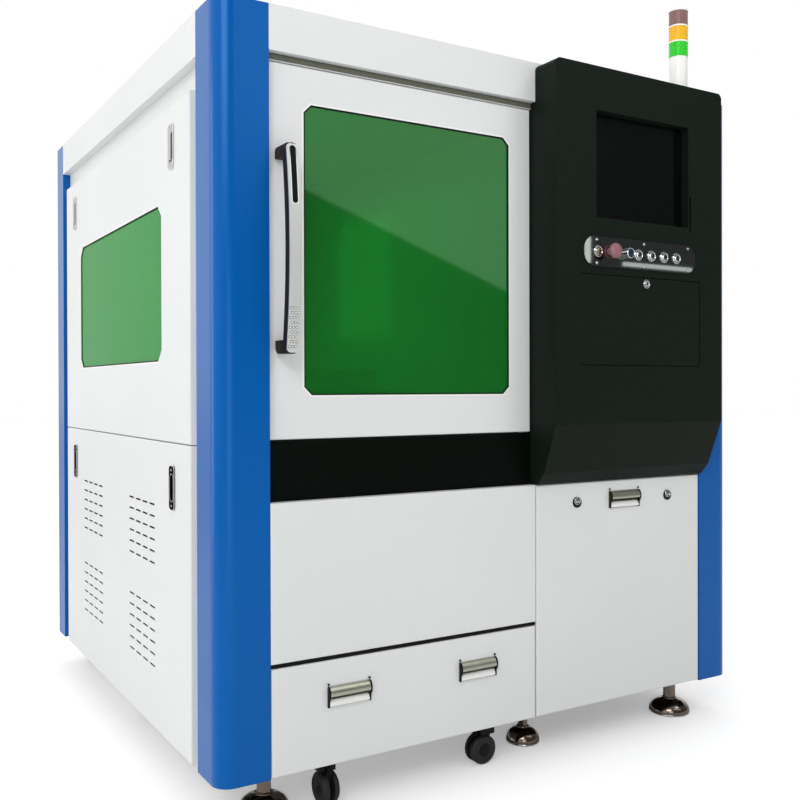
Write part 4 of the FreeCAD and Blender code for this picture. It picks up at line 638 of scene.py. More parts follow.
# %% Pull inlay
PULL_LOW, PULL_HIGH = drawn("door_pull_face")
PULL_SKIN = 2.5
pull_x = (PULL_LOW.x + PULL_HIGH.x) / 2
pull_z = (PULL_LOW.z + PULL_HIGH.z) / 2
half_long = (PULL_HIGH.z - PULL_LOW.z) / 2
bow_rise = PULL_HIGH.y - PULL_SKIN - PULL_LOW.y
bow_radius = (half_long ** 2 + bow_rise ** 2) / (2 * bow_rise)


def bow_face(z):
    """How far the pull's face lies behind its fullest point, at a height."""
    return bow_radius - math.sqrt(bow_radius ** 2 - (z - pull_z) ** 2)


def press_on_bow(bm):
    """Moves a flat piece forward to the face, each vertex by the bow's height there."""
    for vertex in bm.verts:
        vertex.co.y += (PULL_LOW.y + bow_face(vertex.co.z / MM)) * MM
        vertex.co += at(0, 0, 0)


def round_ended(bm, wide, z0, z1, y0, thick):
    """Upright strip with round ends, cut across often enough to bend."""
    steps = 8
    radius = wide / 2
    outline = [(pull_x + radius * math.cos(math.pi * k / steps),
                z1 - radius + radius * math.sin(math.pi * k / steps)) for k in range(steps + 1)]
    outline += [(pull_x - radius * math.cos(math.pi * k / steps),
                 z0 + radius - radius * math.sin(math.pi * k / steps)) for k in range(steps + 1)]
    face = bm.faces.new([bm.verts.new((x * MM, y0 * MM, z * MM)) for x, z in outline])
    raised(bm, [face], (0, thick * MM, 0))
    for k in range(1, steps):
        height = (z0 + (z1 - z0) * k / steps) * MM
        bmesh.ops.bisect_plane(bm, geom=list(bm.verts) + list(bm.edges) + list(bm.faces),
                               plane_co=(0, 0, height), plane_no=(0, 0, 1))


INLAY_WIDE = 13.0
INLAY_FROM, INLAY_TO = 4.0, 134.0      # below the face's top
INLAY_RIM = 2.0
SUNK = 0.5                # pieces start this far inside the face


def pull_inlay():
    for name, spread, out, finish, slot in (("pull_inlay_rim", INLAY_RIM, 0.3, chrome, "silver_face"),
                                            ("pull_inlay", 0.0, 0.6, black_gasket_and_shade, "black_plastic")):
        bm = bmesh.new()
        round_ended(bm, INLAY_WIDE + 2 * spread, PULL_HIGH.z - INLAY_TO - spread,
                    PULL_HIGH.z - INLAY_FROM, -out, out + SUNK)
        press_on_bow(bm)
        finish_piece(name, bm, finish, "door")


pull_inlay()

# %% [markdown]
# ## The pull's domes
# Near its lower end the silver face is pressed into rows of small domes for the grip.
# At this distance each dome is painted: two flattened balls are laid over each other, a wide dark one that
# is painted shade round the dome, and a smaller white one, standing prouder, that is its painted highlight.

# %% Domes
DOME_ROWS = 9
DOME_FIRST, DOME_PITCH = 13.0, 10.6      # above the face's lower end, and from row to row
DOME_APART, DOME_SHIFT = 7.6, 1.9


def pull_domes(name, radius, flatness, finish):
    """Rows of domes, each row shifted against the one below."""
    bm = bmesh.new()
    for row in range(DOME_ROWS):
        z = PULL_LOW.z + DOME_FIRST + DOME_PITCH * row
        shift = DOME_SHIFT if row % 2 else -DOME_SHIFT
        for column in (-1, 0, 1):
            place = Matrix.Translation(((pull_x + DOME_APART * column + shift) * MM, 0, z * MM))
            flat = Matrix.Diagonal((1, flatness, 1, 1))
            bmesh.ops.create_icosphere(bm, subdivisions=2, radius=radius * MM, matrix=place @ flat)
    press_on_bow(bm)
    finish_piece(name, bm, finish, "door", smooth_below=80)


# Painted shade: a wide dark ball round each dome; painted highlight: a smaller white ball on it.
pull_domes("pull_dome_painted_shade", 3.5, 0.2, dark_chrome_and_shade)      # the shaded dent round each dome
pull_domes("pull_domes", 2.3, 0.7, white_abs_and_highlight)

# %% [markdown]
# ## The door pull's bar and arms
# The bar behind the silver face is moulded with round ends, and its two arms run to the
# door in soft curves.  The bar is a thick strip with round ends, bent on the same bow as
# the face.  Each arm is its side view, extruded across: one quarter circle rounds its
# heel at the door, and another fills the corner where it meets the bar.

# %% Bar and arms of the door pull
BAR_THICK = 21.0
BAR_BACK = -31.0      # the bar's back near its ends, in front of the covers
ARM_WIDE = 22.0
ARM_INSIDE = -46.0    # the arms end here, inside the bar
ARM_HEEL, ARM_CORNER = 18.0, 9.0
BAR_LOW, BAR_HIGH = 3.0, 11.0            # the bar ends this far inside the solid's ends
LOWER_ARM, UPPER_ARM = (3.5, 34.0), (36.0, 12.0)      # from the solid's nearer end


def quarter(y, z, radius, start, sweep, steps=6):
    """Points on an arc about (y, z), from a start angle through a sweep in degrees."""
    angles = [math.radians(start + sweep * k / steps) for k in range(steps + 1)]
    return [(y + radius * math.cos(angle), z + radius * math.sin(angle)) for angle in angles]


def lower_arm(root, low, high):
    outline = [(root, high)] + quarter(root - ARM_HEEL, low + ARM_HEEL, ARM_HEEL, 0, -90)
    outline += [(ARM_INSIDE + 7, low), (ARM_INSIDE, low + 5), (ARM_INSIDE, high + ARM_CORNER)]
    return outline + quarter(BAR_BACK + ARM_CORNER, high + ARM_CORNER, ARM_CORNER, 180, 90)


def upper_arm(root, low, high):
    outline = [(root, low)] + quarter(BAR_BACK + ARM_CORNER, low - ARM_CORNER, ARM_CORNER, 90, 90)
    outline += [(ARM_INSIDE, low - ARM_CORNER), (ARM_INSIDE, high)]
    return outline + quarter(root - ARM_CORNER, high - ARM_CORNER, ARM_CORNER, 90, -90)


bar_low, bar_high = drawn("door_pull")
bm = bmesh.new()
round_ended(bm, bar_high.x - bar_low.x, bar_low.z + BAR_LOW, bar_high.z - BAR_HIGH, PULL_SKIN, BAR_THICK)
press_on_bow(bm)
for outline in (lower_arm(bar_high.y, *[bar_low.z + up for up in LOWER_ARM]),
                upper_arm(bar_high.y, *[bar_high.z - down for down in UPPER_ARM])):
    cut_sheet(bm, outline, ARM_WIDE, lying(at(pull_x - ARM_WIDE / 2, 0, 0), outwards=1))
bar = finish_piece("pull_bar", bm, pull_brown, "door", smooth_below=40)
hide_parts("door_pull")

# %% [markdown]
# ## Emergency stop
# A mushroom button has a wide domed head on a slim stem, so that a flat hand can hit it.
# The engineering model's head is turned again here with a finer outline: the dome is an
# arc of a circle, worked out from its radius and its rise, and the shoulder below it
# falls back to the stem.

# %% Emergency stop
STOP_RISE = 12.0
STOP_STEM = 10.4
STOP_SHOULDER = 43.0      # where the head begins, from the stem's root
STOP_SLIM = 0.92          # the turned rim is this much slimmer than the solid's


def arc(radius, height_top, rise, steps):
    """Outline of a shallow round cap, from its axis to its rim."""
    sphere = (radius ** 2 + rise ** 2) / (2 * rise)
    half = math.asin(radius / sphere)
    return [(sphere * math.sin(half * k / steps), height_top - sphere * (1 - math.cos(half * k / steps)))
            for k in range(steps + 1)]


stop_low, stop_high = drawn("emergency_stop")
stop_centre = centre_of("emergency_stop")
stop_radius = STOP_SLIM * (stop_high.x - stop_low.x) / 2
stop_long = stop_high.y - stop_low.y
outline = arc(stop_radius, stop_long, STOP_RISE, 10)
outline += [(stop_radius, stop_long - STOP_RISE - 2.0), (0.95 * stop_radius, stop_long - 1.6 * STOP_RISE),
            (1.35 * STOP_STEM, STOP_SHOULDER), (STOP_STEM, STOP_SHOULDER), (STOP_STEM, 0), (0, 0)]
bm = bmesh.new()
turned(bm, outline, standing(TOWARDS_VIEWER, at(stop_centre.x, stop_high.y, stop_centre.z)), steps=48)
stop = finish_piece("stop_head", bm, stop_red, "emergency_stop", smooth_below=40)
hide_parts("emergency_stop")

# %% [markdown]
# ## The strip's polished face
# The strip is one sheet of stainless steel with round ends.  It mirrors the room, and a
# mirror shows every wave of a mesh, so its face is laid on as a flat sheet of its own.

# %% Strip face
STRIP_PROUD = 3.0
FACE_INSET = 0.8          # the face stays this far inside the strip's edge
FACE_THICK = 0.15
strip_low, strip_high = drawn("button_plate")
strip_face = drawn("console_housing")[0].y - STRIP_PROUD
strip_x, strip_z = (strip_low.x + strip_high.x) / 2, (strip_low.z + strip_high.z) / 2
face_wide = strip_high.x - strip_low.x - 2 * FACE_INSET
face_high = strip_high.z - strip_low.z - 2 * FACE_INSET
bm = bmesh.new()
# The corners' radius is a hair under half the height, so two of them never meet.
rounded_sheet(bm, face_wide, face_high, face_high / 2 - 0.1, FACE_THICK,
              standing(TOWARDS_VIEWER, at(strip_x, strip_face, strip_z)), segments=16)
finish_piece("strip_face", bm, strip_steel, "machine")

# %% [markdown]
# ## Rings round the buttons
# Each button sits in a bright ring, the key switch in a long one, and the stop in a red collar that is
# darkened as painted shade under its head.  They differ only in their radii and their height, so one ring
# with broken edges serves for all of them.

# %% Rings and collar
BORE = 11.0               # a panel button's body is 22 millimetres across
BUTTON_RING = (15.2, 4.0, 1.2)           # outer radius, height and broken edge
KEY_RING = (14.2, 21.0, 1.5)
STOP_COLLAR = (17.2, 9.6, 1.2)
ring_nodes = ["power_button"] + ["push_button_%d" % k for k in range(1, 5)]


def bright_ring(bm, x, outer, proud, edge):
    outline = [(BORE, 0), (BORE, proud - edge), (BORE + edge, proud), (outer - edge, proud),
               (outer, proud - edge), (outer, 0), (BORE, 0)]
    turned(bm, outline, standing(TOWARDS_VIEWER, at(x, strip_face, strip_z)))


bm = bmesh.new()
for node in ring_nodes:
    bright_ring(bm, centre_of(node).x, *BUTTON_RING)
bright_ring(bm, centre_of("key_switch").x, *KEY_RING)
finish_piece("button_rings", bm, chrome, "machine")

# The collar's darker red is painted shade under the stop's head.
bm = bmesh.new()
bright_ring(bm, stop_centre.x, *STOP_COLLAR)
finish_piece("stop_collar", bm, collar_red_painted_shade, "machine")

# %% [markdown]
# ## Lenses and screws of the strip
# Each cap has a shallow lens, pale gold on the power button, which rides on its cap and
# goes in with it.  Six socket screws hold the strip; a step down in the middle of the
# outline makes the socket.

# %% Lenses and screws
LENS = [(0, 0.7), (4.5, 0.6), (7.2, 0.1), (7.6, -0.4), (0, -0.4)]
SOCKET_SCREW = [(0, 0.8), (1.7, 0.8), (1.7, 2.2), (3.1, 2.2), (4.0, 1.4), (4.0, 0), (0, 0)]
SCREW_ROWS = 31.0         # above and below the strip's middle
SCREW_PLACES = (strip_low.x + 46.0, strip_x + 8.5, strip_high.x - 31.0)

for node in ring_nodes:
    bm = bmesh.new()
    turned(bm, LENS, standing(TOWARDS_VIEWER, at(centre_of(node).x, drawn(node)[0].y, strip_z)), steps=24)
    finish_piece(node + "_lens", bm, gold_lens if node == "power_button" else dark_chrome_and_shade, node)

bm = bmesh.new()
for x in SCREW_PLACES:
    for z in (strip_z - SCREW_ROWS, strip_z + SCREW_ROWS):
        turned(bm, SOCKET_SCREW, standing(TOWARDS_VIEWER, at(x, strip_face, z)), steps=16)
finish_piece("strip_screws", bm, chrome, "machine")

# %% [markdown]
# ## Recessed pulls
# The drawer and cabinet pulls are pressed cups with black cheeks at their ends, a lip in white plastic that
# paints the highlight along the cup's lower edge, an olive sheet at the back that paints the shade inside
# the cup, and two small screws above.  Cheek and lip keep one section all the way across, so each is its
# side view, extruded.

# %% Cheeks, painted shade, painted highlight lips and screws of the cup pulls
CHEEK = [(0, 24.2), (6, 21.8), (9.6, 15.5), (11.0, 8), (10.6, 0.5), (4.6, -10), (4.0, -24.2), (0, -24.2)]
CHEEK_OUT, CHEEK_THICK = 57.2, 4.5
LIP = [(4.6, -21.5), (5.4, -20.6), (4.4, -17.0), (0.5, -9.5), (-3.0, -7.0), (-3.4, -8.0), (0, -10.8),
       (3.0, -17.4), (3.6, -21.5)]
LIP_LONG = 105.0
CUP_SHADE = [(-48, -9), (48, -9), (48, 11), (-48, 11)]
CUP_SHADE_DEEP, CUP_SHADE_UP, CUP_SHADE_THICK = 18.0, 3.0, 0.8
CUP_SCREW = [(0, 1.6), (2.2, 1.6), (3.0, 0.9), (3.0, 0), (0, 0)]
CUP_SCREW_OUT, CUP_SCREW_UP = 54.5, 29.0


def dress_cup_pull(word, x, z, face, body):
    bm = bmesh.new()
    for side in (-1, 1):
        edge = x + side * CHEEK_OUT - (CHEEK_THICK if side > 0 else 0)
        cut_sheet(bm, CHEEK, CHEEK_THICK, lying(at(edge, face, z)))
        turned(bm, CUP_SCREW, standing(TOWARDS_VIEWER, at(x + side * CUP_SCREW_OUT, face, z + CUP_SCREW_UP)),
               steps=12)
    finish_piece(word + "_cheeks", bm, black_nylon, body)
    # Painted shade: an olive sheet at the back of the cup.
    bm = bmesh.new()
    cut_sheet(bm, CUP_SHADE, CUP_SHADE_THICK, standing(TOWARDS_VIEWER, at(x, face + CUP_SHADE_DEEP, z + CUP_SHADE_UP)))
    finish_piece(word + "_lining", bm, cup_painted_shade, body)
    # Painted highlight: the lip is white plastic, brighter than the nickel cup.
    bm = bmesh.new()
    cut_sheet(bm, LIP, LIP_LONG, lying(at(x - LIP_LONG / 2, face, z)))
    finish_piece(word + "_painted_highlight_lip", bm, white_abs_and_highlight, body)


CUP_HALF, CUP_FLANGE, CABINET_FACE = 57.0, 3.0, 2.0
cabinet_pull = centre_of("cabinet_pull")
drawer_z = centre_of("drawer_pulls").z
drawer_left, drawer_right = [corner.x for corner in drawn("drawer_pulls")]
dress_cup_pull("cabinet_pull", cabinet_pull.x, cabinet_pull.z, CABINET_FACE - CUP_FLANGE, "cabinet_door")
dress_cup_pull("drawer_pull_left", drawer_left + CUP_HALF, drawer_z, -CUP_FLANGE, "drawer")
dress_cup_pull("drawer_pull_right", drawer_right - CUP_HALF, drawer_z, -CUP_FLANGE, "drawer")

# %% [markdown]
# ## Pulls in the side panels
# The panels lift off by small recessed pulls.  The upper ones are light grey with a dark hooked strip, which
# is painted shade in the pull's recess, and the lower ones are black with a light inner line, which is a
# painted highlight on the recess's rim.  The right side and the rear, which it doesn't show, follow the same
# pattern in white.  Each pull has a fine white edge, a painted highlight along its rim, and two screws.  One
# function dresses them all, because only the place and the direction differ.

# %% Painted highlight edges, painted shade and highlight strips, and screws of the side pulls
SIDE_WIDE, SIDE_LONG, SIDE_CORNER = 42.0, 110.0, 12.0
SIDE_PROUD = 2.5
SIDE_EDGE, SIDE_EDGE_WALL = 0.8, 1.8     # the bright edge stands 0.8 outside the pull
LINE_WIDE, LINE_LONG, LINE_CORNER, LINE_WALL = 29.0, 69.0, 13.0, 1.3
THIN, STRIP_THICK = 0.5, 0.6
HOOKED_STRIP = [(13.3, 33), (13.3, -28), (9, -33.6), (-8, -33.6), (-8, -37), (10.5, -37),
                (16.5, -30), (16.5, 33)]
SIDE_SCREW = [(0, 0.5), (1.4, 0.5), (1.4, 1.2), (2.5, 1.2), (3.2, 0.6), (3.2, 0), (0, 0)]
SIDE_SCREW_UP = 44.0


def dress_side_pulls(word, places, body, dark):
    edges, strips, screws = bmesh.new(), bmesh.new(), bmesh.new()
    for place in places:
        # A white ring round each pull: painted highlight along its rim.
        rounded_ring(edges, SIDE_WIDE + 2 * SIDE_EDGE, SIDE_LONG + 2 * SIDE_EDGE, SIDE_CORNER + SIDE_EDGE,
                     SIDE_EDGE_WALL, THIN, place)
        # Lower pulls get a light ring, a painted highlight on the recess's rim; upper ones a black hooked
        # strip, painted shade in the recess.
        if dark:
            rounded_ring(strips, LINE_WIDE, LINE_LONG, LINE_CORNER, LINE_WALL, THIN, place)
        else:
            cut_sheet(strips, HOOKED_STRIP, STRIP_THICK, place)
        for height in (-SIDE_SCREW_UP, SIDE_SCREW_UP):
            turned(screws, SIDE_SCREW, place @ Matrix.Translation((0, height * MM, 0)), steps=16)
    finish_piece(word + "_painted_highlight_edges", edges, white_abs_and_highlight, body)
    finish_piece(word + "_painted_shade_and_highlight_strips", strips, grey_abs_and_highlight if dark else black_gasket_and_shade, body)
    finish_piece(word + "_screws", screws, chrome, body)


# %% [markdown]
# ## Ten pulls in their places
# Two pulls sit in each of the four side panels and two in the rear cover, all about 310
# millimetres from the cabinet's corners.

# %% Side and rear pulls
SIDE_Y = (307.0, 1337.0)
SIDE_Z = {"upper": 1582.5, "lower": 748.0}
REAR_X, REAR_Z = (310.0, 1336.0), 1209.5
RIGHT_FACE = drawn("corner_posts")[1].x
REAR_FACE = drawn("rear_panel")[1].y

for wall, direction, face_x in (("left", TOWARDS_LEFT, -SIDE_PROUD),
                                ("right", TOWARDS_RIGHT, RIGHT_FACE + SIDE_PROUD)):
    for level_word, z in SIDE_Z.items():
        dress_side_pulls("%s_%s_pull" % (wall, level_word),
                         [facing(direction, at(face_x, y, z)) for y in SIDE_Y],
                         "%s_%s" % (wall, level_word), dark=level_word == "lower")
dress_side_pulls("rear_pull", [facing(TOWARDS_REAR, at(x, REAR_FACE, REAR_Z)) for x in REAR_X],
                 "rear_cover", dark=False)

# %% [markdown]
# ## Cam locks
# A cam lock is a turned cylinder with a raised chrome ring and, inside it, the plug that turns with the key.
# The key slot is a thin black plate on the plug, which paints the shade inside the slot: at a few pixels
# across, a cut would look the same and cost more.

# %% Rings, plugs and key slots
LOCK_RING = [(8.6, 0), (8.6, 0.5), (9.2, 1.3), (10.4, 1.3), (11.0, 0.5), (11.0, 0), (8.6, 0)]
PLUG_HIGH = 0.9
LOCK_PLUG = [(0, PLUG_HIGH), (5.6, PLUG_HIGH), (6.4, 0.4), (6.4, 0), (0, 0)]
KEY_WIDE, KEY_LONG, KEY_CORNER, KEY_THICK = 2.2, 8.4, 0.9, 0.3

for node in ("flap_lock", "cabinet_lock_left", "cabinet_lock_right"):
    centre = centre_of(node)
    place = facing(TOWARDS_VIEWER, at(centre.x, drawn(node)[0].y, centre.z))
    bm = bmesh.new()
    turned(bm, LOCK_RING, place)
    turned(bm, LOCK_PLUG, place)
    finish_piece(node + "_ring", bm, chrome, node)
    # Painted shade: a black plate where the key slot is.
    bm = bmesh.new()
    rounded_sheet(bm, KEY_WIDE, KEY_LONG, KEY_CORNER, KEY_THICK,
                  place @ Matrix.Translation((0, 0, PLUG_HIGH * MM)), segments=3)
    finish_piece(node + "_key_slot_painted_shade", bm, black_gasket_and_shade, node)

# %% [markdown]
# ## Signal tower
# The lenses of a signal tower are ribbed all the way up, so that the lamp inside fills
# them with light.  Each is spun again from a ribbed outline in place of the plain one,
# because ribs that are only painted on would leave its rim smooth.  A white column
# stands inside as the lamp.

# %% Ribbed lenses
LENS_RIBS = 9
LENS_WALL, RIB_DEEP = 2.5, 0.9
LAMP_RADIUS = 11.0
for colour, finish in (("green", lens_green), ("amber", lens_amber), ("red", lens_red)):
    node = "tower_lens_" + colour
    low, high = drawn(node)
    centre = centre_of(node)
    radius = (high.x - low.x) / 2
    inner, valley = radius - LENS_WALL, radius - RIB_DEEP
    tall = high.z - low.z
    pitch = tall / LENS_RIBS
    outline = [(inner, 0), (valley, 0)]
    for k in range(LENS_RIBS):
        outline += [(valley, (k + 0.1) * pitch), (radius, (k + 0.5) * pitch), (valley, (k + 0.9) * pitch)]
    outline += [(valley, tall), (inner, tall), (inner, 0)]
    place = Matrix.Translation(at(centre.x, centre.y, low.z))
    bm = bmesh.new()
    turned(bm, outline, place, steps=40)
    lens = finish_piece(node + "_ribbed", bm, finish, "machine", smooth_below=20)
    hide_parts(node)
    bm = bmesh.new()
    turned(bm, [(0, 1), (LAMP_RADIUS, 1), (LAMP_RADIUS, tall - 1), (0, tall - 1)], place, steps=24)
    finish_piece(node + "_lamp", bm, white_abs_and_highlight, "machine")

# %% [markdown]
# ## Painted shade above the drawer
# A black bar with a D-shaped section lies behind the wide seam above the scrap drawer and paints the shade
# in the seam, which is why it reads as a black line.  The section is half a circle with a flat back,
# extruded along the seam.

# %% Painted shade in the drawer seam
SEAM_BEHIND = 6.0
SEAM_SHADE_LARGEST, SEAM_SHADE_PLAY = 12.0, 1.0
SEAM_SHADE_SHORT = 2.0          # at each end
seam_low, seam_top = drawn("scrap_drawer")[1].z, drawn("lower_front_panel")[0].z
seam_x0, seam_x1 = [corner.x for corner in drawn("lower_front_panel")]
seam_shade_size = min(seam_top - seam_low, SEAM_SHADE_LARGEST) - SEAM_SHADE_PLAY


def d_section(size, steps=8):
    angles = [math.pi * (k / steps - 0.5) for k in range(steps + 1)]
    return [(size / 2 * math.cos(angle), size / 2 * math.sin(angle)) for angle in angles]


# Painted shade: a black bar behind the seam.
bm = bmesh.new()
cut_sheet(bm, d_section(seam_shade_size), seam_x1 - seam_x0 - 2 * SEAM_SHADE_SHORT,
          lying(at(seam_x0 + SEAM_SHADE_SHORT, SEAM_BEHIND, (seam_top + seam_low) / 2)))
finish_piece("drawer_seam_painted_shade", bm, black_gasket_and_shade, "machine")
print("seam above the drawer:", seam_low, seam_top)

# %% [markdown]
# ## Painted shade above the door
# The recess between the door and the roof rim lies in the rim's shade, and an olive grey bar laid along it
# paints that shade.  The bar has broken corners, and its rough finish keeps it dull.

# %% Painted shade in the header
HEADER_SHADE_BAR = [(0, -6.5), (2.6, -6.5), (4.2, -3.5), (4.2, 3.5), (2.6, 6.5), (0, 6.5)]
HEADER_SHADE_UP = 1.6
door_low, door_high = drawn("front_door")
rim_low = drawn("roof_cover")[0].z
# Painted shade: an olive grey bar along the header recess.
bm = bmesh.new()
cut_sheet(bm, HEADER_SHADE_BAR, door_high.x - door_low.x,
          lying(at(door_low.x, DOOR_FACE, (door_high.z + rim_low) / 2 + HEADER_SHADE_UP)))
finish_piece("header_painted_shade_bar", bm, header_painted_shade, "machine")
print("header, from door top to roof rim:", door_high.z, rim_low)

# %% [markdown]
# ## Vent filters
# Behind each field of vent slots lies a black filter mat, so no light comes through the slots, and its black
# paints the shade in them.  A mat is a sheet with round corners, a little larger than its field.

# %% Filter mats
SHEET, MAT_GAP = 2.0, 0.1
MAT_THICK, MAT_LAP, MAT_CORNER = 2.0, 9.0, 8.0
FIELD_WIDE, FIELD_HIGH = 235.0, 157.0
FIELD_Y, FIELD_Z = (454.0, 985.0), (270.0, 537.0)      # lower corners of the vent fields
inset = SHEET + MAT_GAP + MAT_THICK
for word, direction, inner_face in (("left", TOWARDS_LEFT, inset),
                                    ("right", TOWARDS_RIGHT, RIGHT_FACE - inset)):
    bm = bmesh.new()
    for y in FIELD_Y:
        for z in FIELD_Z:
            middle = at(inner_face, y + FIELD_WIDE / 2, z + FIELD_HIGH / 2)
            rounded_sheet(bm, FIELD_WIDE + 2 * MAT_LAP, FIELD_HIGH + 2 * MAT_LAP, MAT_CORNER, MAT_THICK,
                          facing(direction, middle), segments=4)
    # The mats' black is also painted shade in the slots.
    finish_piece(word + "_filter_mats", bm, filter_foam_and_slot_shade, word + "_lower")

# %% [markdown]
# ## Levelling feet
# A levelling foot is a turned pad with a bright rolled rim, on a threaded stud.  All
# three are round about one axis, so each is an outline that is spun.  The thread is drawn
# as rings, because at this size a helix can't be told from them.

# %% Foot pads, rims and threads
THREAD_LOW, THREAD_PITCH, THREAD_TURNS = 98.5, 2.5, 5
THREAD_CORE, THREAD_ROOT, THREAD_CREST = 10.0, 12.9, 13.9


def pad_outline(pad):
    return [(0, 0.2), (pad - 6, 0.2), (pad - 1.5, 1.6), (pad + 0.9, 6), (pad + 1.0, 13),
            (pad - 1.5, 20), (0.9 * pad, 27), (0.77 * pad, 33.5), (0.6 * pad, 38.5), (0.42 * pad, 41),
            (0.36 * pad, 43.5), (0.36 * pad, 46), (0, 46)]


def rim_outline(pad):
    return [(pad - 2, 3.0), (pad + 1.1, 3.2), (pad + 1.7, 4.8), (pad + 1.1, 6.4), (pad - 2, 6.6),
            (pad - 2, 3.0)]


def thread_outline():
    thread_top = THREAD_LOW + THREAD_TURNS * THREAD_PITCH
    outline = [(THREAD_CORE, THREAD_LOW)]
    for k in range(THREAD_TURNS):
        outline += [(THREAD_ROOT, THREAD_LOW + k * THREAD_PITCH),
                    (THREAD_CREST, THREAD_LOW + (k + 0.5) * THREAD_PITCH)]
    return outline + [(THREAD_ROOT, thread_top), (THREAD_CORE, thread_top), (THREAD_CORE, THREAD_LOW)]


for word in ("front_left", "front_middle", "front_right", "rear_left", "rear_right"):
    node = "foot_" + word
    low, high = drawn(node)
    centre = centre_of(node)
    pad = (high.x - low.x) / 2
    for part, outline, finish, steps, smooth in (
            ("_pad", pad_outline(pad), foot_nickel, 48, 50), ("_rim", rim_outline(pad), chrome, 48, 35),
            ("_thread", thread_outline(), foot_nickel, 24, 20)):
        bm = bmesh.new()
        turned(bm, outline, Matrix.Translation(at(centre.x, centre.y, 0)), steps=steps)
        finish_piece(node + part, bm, finish, node, smooth_below=smooth)

# %% [markdown]
# ## Hub caps
# Each caster wheel has a shallow cap with a rivet on either side.  The cap is a turned
# piece on the wheel's axle, so it rides on the wheel and spins with it.  The axle's
# direction is read from the wheel's box, which is narrowest along it.

# %% Hub caps
HUB_CAP = [(0, 2.4), (3.5, 2.2), (4.4, 0.9), (17, 0.7), (19, -0.4), (0, -0.4)]
for word in ("front_left", "front_right", "rear_left", "rear_right"):
    node = "wheel_" + word
    low, high = drawn(node)
    centre = centre_of(node)
    along_x = (high.x - low.x) < (high.y - low.y)
    axle = TOWARDS_RIGHT if along_x else TOWARDS_REAR
    half_axle = (high.x - low.x if along_x else high.y - low.y) / 2
    bm = bmesh.new()
    for side in (-1, 1):
        turned(bm, HUB_CAP, standing(axle * side, at(*centre) + axle * side * half_axle * MM))
    finish_piece(node + "_hub_caps", bm, black_nylon, node)

# %% [markdown]
# ## Cutting nozzle
# Inside, the head ends in a copper nozzle.  It is a stack of cones on one axis, so one
# outline makes it.

# %% Nozzle
NOZZLE = [(0, 0), (2.5, 0), (7, 9), (9.5, 9.5), (9.5, 13), (6, 13.5), (0, 13.5)]
NOZZLE_BELOW = 6.0
head = centre_of("cutting_head")
bm = bmesh.new()
turned(bm, NOZZLE, Matrix.Translation(at(head.x, head.y, drawn("cutting_head")[0].z - NOZZLE_BELOW)))
finish_piece("copper_nozzle", bm, nozzle_copper, "head")

# %% [markdown]
# ## Floor
# The machine stands on a pale, plain studio floor, which the photograph shows almost
# white.  So the camera alone sees a little glow on it, while the machine's underside is
# lit by the plain floor.

# %% Floor
FLOOR_LIFT = 0.32
HAZE_MM = 1700.0          # faint uneven patches
FLOOR_HALF = 30.0         # metres, far past the edges of the picture


def studio_floor():
    material, tree, shader, place = new_finish("pale_studio_floor", Roughness=0.6,
                                               Specular_IOR_Level=0.1,
                                               Emission_Color=linear("#FFFFFF"))
    lift = add_node(tree, "ShaderNodeMath", {"operation": "MULTIPLY"})
    tree.links.new(add_node(tree, "ShaderNodeLightPath").outputs["Is Camera Ray"], lift.inputs[0])
    lift.inputs[1].default_value = FLOOR_LIFT
    haze = add_node(tree, "ShaderNodeTexNoise", {"Scale": 1000 / HAZE_MM}, {"Vector": place})
    colour = add_node(tree, "ShaderNodeMix",
                      {"data_type": "RGBA", "A": linear("#F6F6F6"), "B": linear("#F1F1F1")},
                      {"Factor": haze.outputs["Fac"]})
    feed(tree, shader, {"Base Color": colour.outputs["Result"],
                        "Emission Strength": lift.outputs["Value"]})
    bm = bmesh.new()
    bmesh.ops.create_grid(bm, x_segments=2, y_segments=2, size=FLOOR_HALF)
    mesh = bpy.data.meshes.new("studio_floor")
    bm.to_mesh(mesh)
    bm.free()
    mesh.materials.append(material)
    floor = bpy.data.objects.new("studio_floor", mesh)
    bpy.context.scene.collection.objects.link(floor)


studio_floor()
print("floor laid, square metres:", (2 * FLOOR_HALF) ** 2)

# %% [markdown]
# ## Room
# The photograph has the even white of a studio with a lit back wall, and yet its black
# console is truly black.  That needs a room that is bright behind and beside the machine
# and dim in front of it on the right, because a front panel mirrors just that part of
# the room to the camera.  The room's brightness therefore follows the direction, and
# the camera itself sees plain white.

# %% Room
BRIGHT_SIDE = (-0.37, 0.93, 0.0)     # towards the lit back wall
ROOM_DIM, ROOM_BRIGHT = 0.15, 1.0

world = bpy.data.worlds.new("studio_room")
world.use_nodes = True
room = world.node_tree
towards = add_node(room, "ShaderNodeVectorMath", {"operation": "DOT_PRODUCT"})
room.links.new(add_node(room, "ShaderNodeTexCoord").outputs["Generated"], towards.inputs[0])
towards.inputs[1].default_value = BRIGHT_SIDE
level = add_node(room, "ShaderNodeMapRange",
                 {"interpolation_type": "SMOOTHSTEP", "From Min": -0.7, "From Max": 0.1,
                  "To Min": ROOM_DIM, "To Max": ROOM_BRIGHT}, {"Value": towards.outputs["Value"]})
strength = add_node(room, "ShaderNodeMath", {"operation": "MAXIMUM"})
room.links.new(add_node(room, "ShaderNodeLightPath").outputs["Is Camera Ray"], strength.inputs[0])
room.links.new(level.outputs["Result"], strength.inputs[1])
backdrop = room.nodes["Background"]
backdrop.inputs["Color"].default_value = linear("#FFFFFF")
feed(room, backdrop, {"Strength": strength.outputs["Value"]})
bpy.context.scene.world = world
bpy.context.scene.view_settings.view_transform = "Standard"
print("room from", ROOM_DIM, "to", ROOM_BRIGHT)

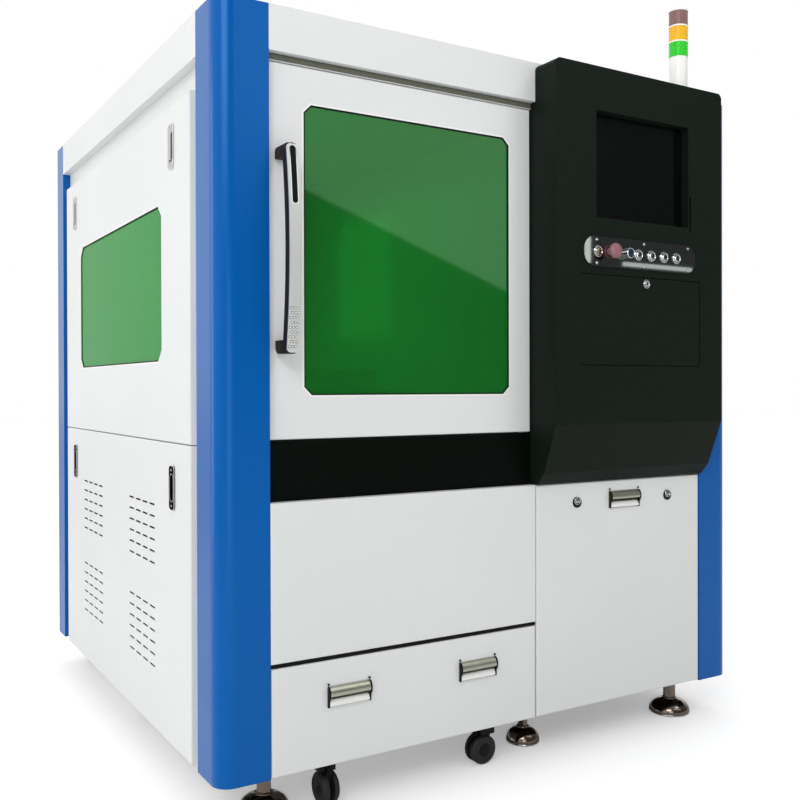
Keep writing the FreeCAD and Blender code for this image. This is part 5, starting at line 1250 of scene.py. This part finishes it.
# %% [markdown]
# ## Lights
# A softbox high on the left lights both sides of the machine that the camera sees, and a
# weaker one beside the camera fills the front.  One high on the right throws the door
# pull's soft shadow to the left, and one behind on the left brightens the side panels.
#
# Polished faces show what they mirror, so three lights stand where those faces look: a
# large tilted card for the front window, whose lower edge is the slanting line in the
# glass, and a thin tube and a small card for the control strip.
#
# The last two are inside the chamber.  One shines down on the slats, and a narrow beam
# makes the pale field that shows through the window on the chamber's wall.

# %% Lights
def soft_light(name, place, aim, wide, high, radiance, tilt=0.0, spread=180):
    """Area light whose surface is as bright as the given radiance; a low spread makes a beam."""
    data = bpy.data.lights.new(name, "AREA")
    data.shape = "RECTANGLE"
    data.size = wide
    data.size_y = high
    data.energy = math.pi * wide * high * radiance
    data.spread = math.radians(spread)
    turn = (place - aim).to_track_quat("Z", "Y").to_matrix().to_4x4()
    lamp = bpy.data.objects.new(name, data)
    lamp.matrix_world = Matrix.Translation(place) @ turn @ Matrix.Rotation(tilt, 4, "Z")
    bpy.context.scene.collection.objects.link(lamp)
    lamp.visible_transmission = False      # a lamp isn't seen through the windows
    print(name, "watts:", round(data.energy, 1))


middle = at(823, 400, 1000)
soft_light("left_softbox", at(-2400, -3400, 3600), middle, 2.6, 2.0, 5.3)
soft_light("camera_fill", at(-700, -3000, 900), at(860, 0, 1200), 1.4, 1.4, 1.8)
soft_light("right_softbox", at(2600, -2400, 4300), middle, 1.4, 1.4, 3.6)
soft_light("left_rear_softbox", at(-3400, 2600, 1500), at(0, 60, 1100), 1.1, 2.9, 2.5)
soft_light("window_card", at(1839, -2500, 2381), at(1839, 0, 2381), 2.4, 0.92, 1.35,
           tilt=math.radians(-19.4))
soft_light("strip_tube", at(3813, -2500, 1755), at(3813, 0, 1755), 0.62, 0.026, 2.6)
soft_light("strip_card", at(3216, -2500, 1824), at(3216, 0, 1824), 0.05, 0.16, 3.2)
soft_light("work_lamp", at(470, 900, 1690), at(470, 900, 0), 0.5, 0.7, 4.5)
soft_light("chamber_wall_lamp", at(780, 1040, 1390), at(948, 1040, 1390), 0.38, 0.44, 0.6, spread=30)
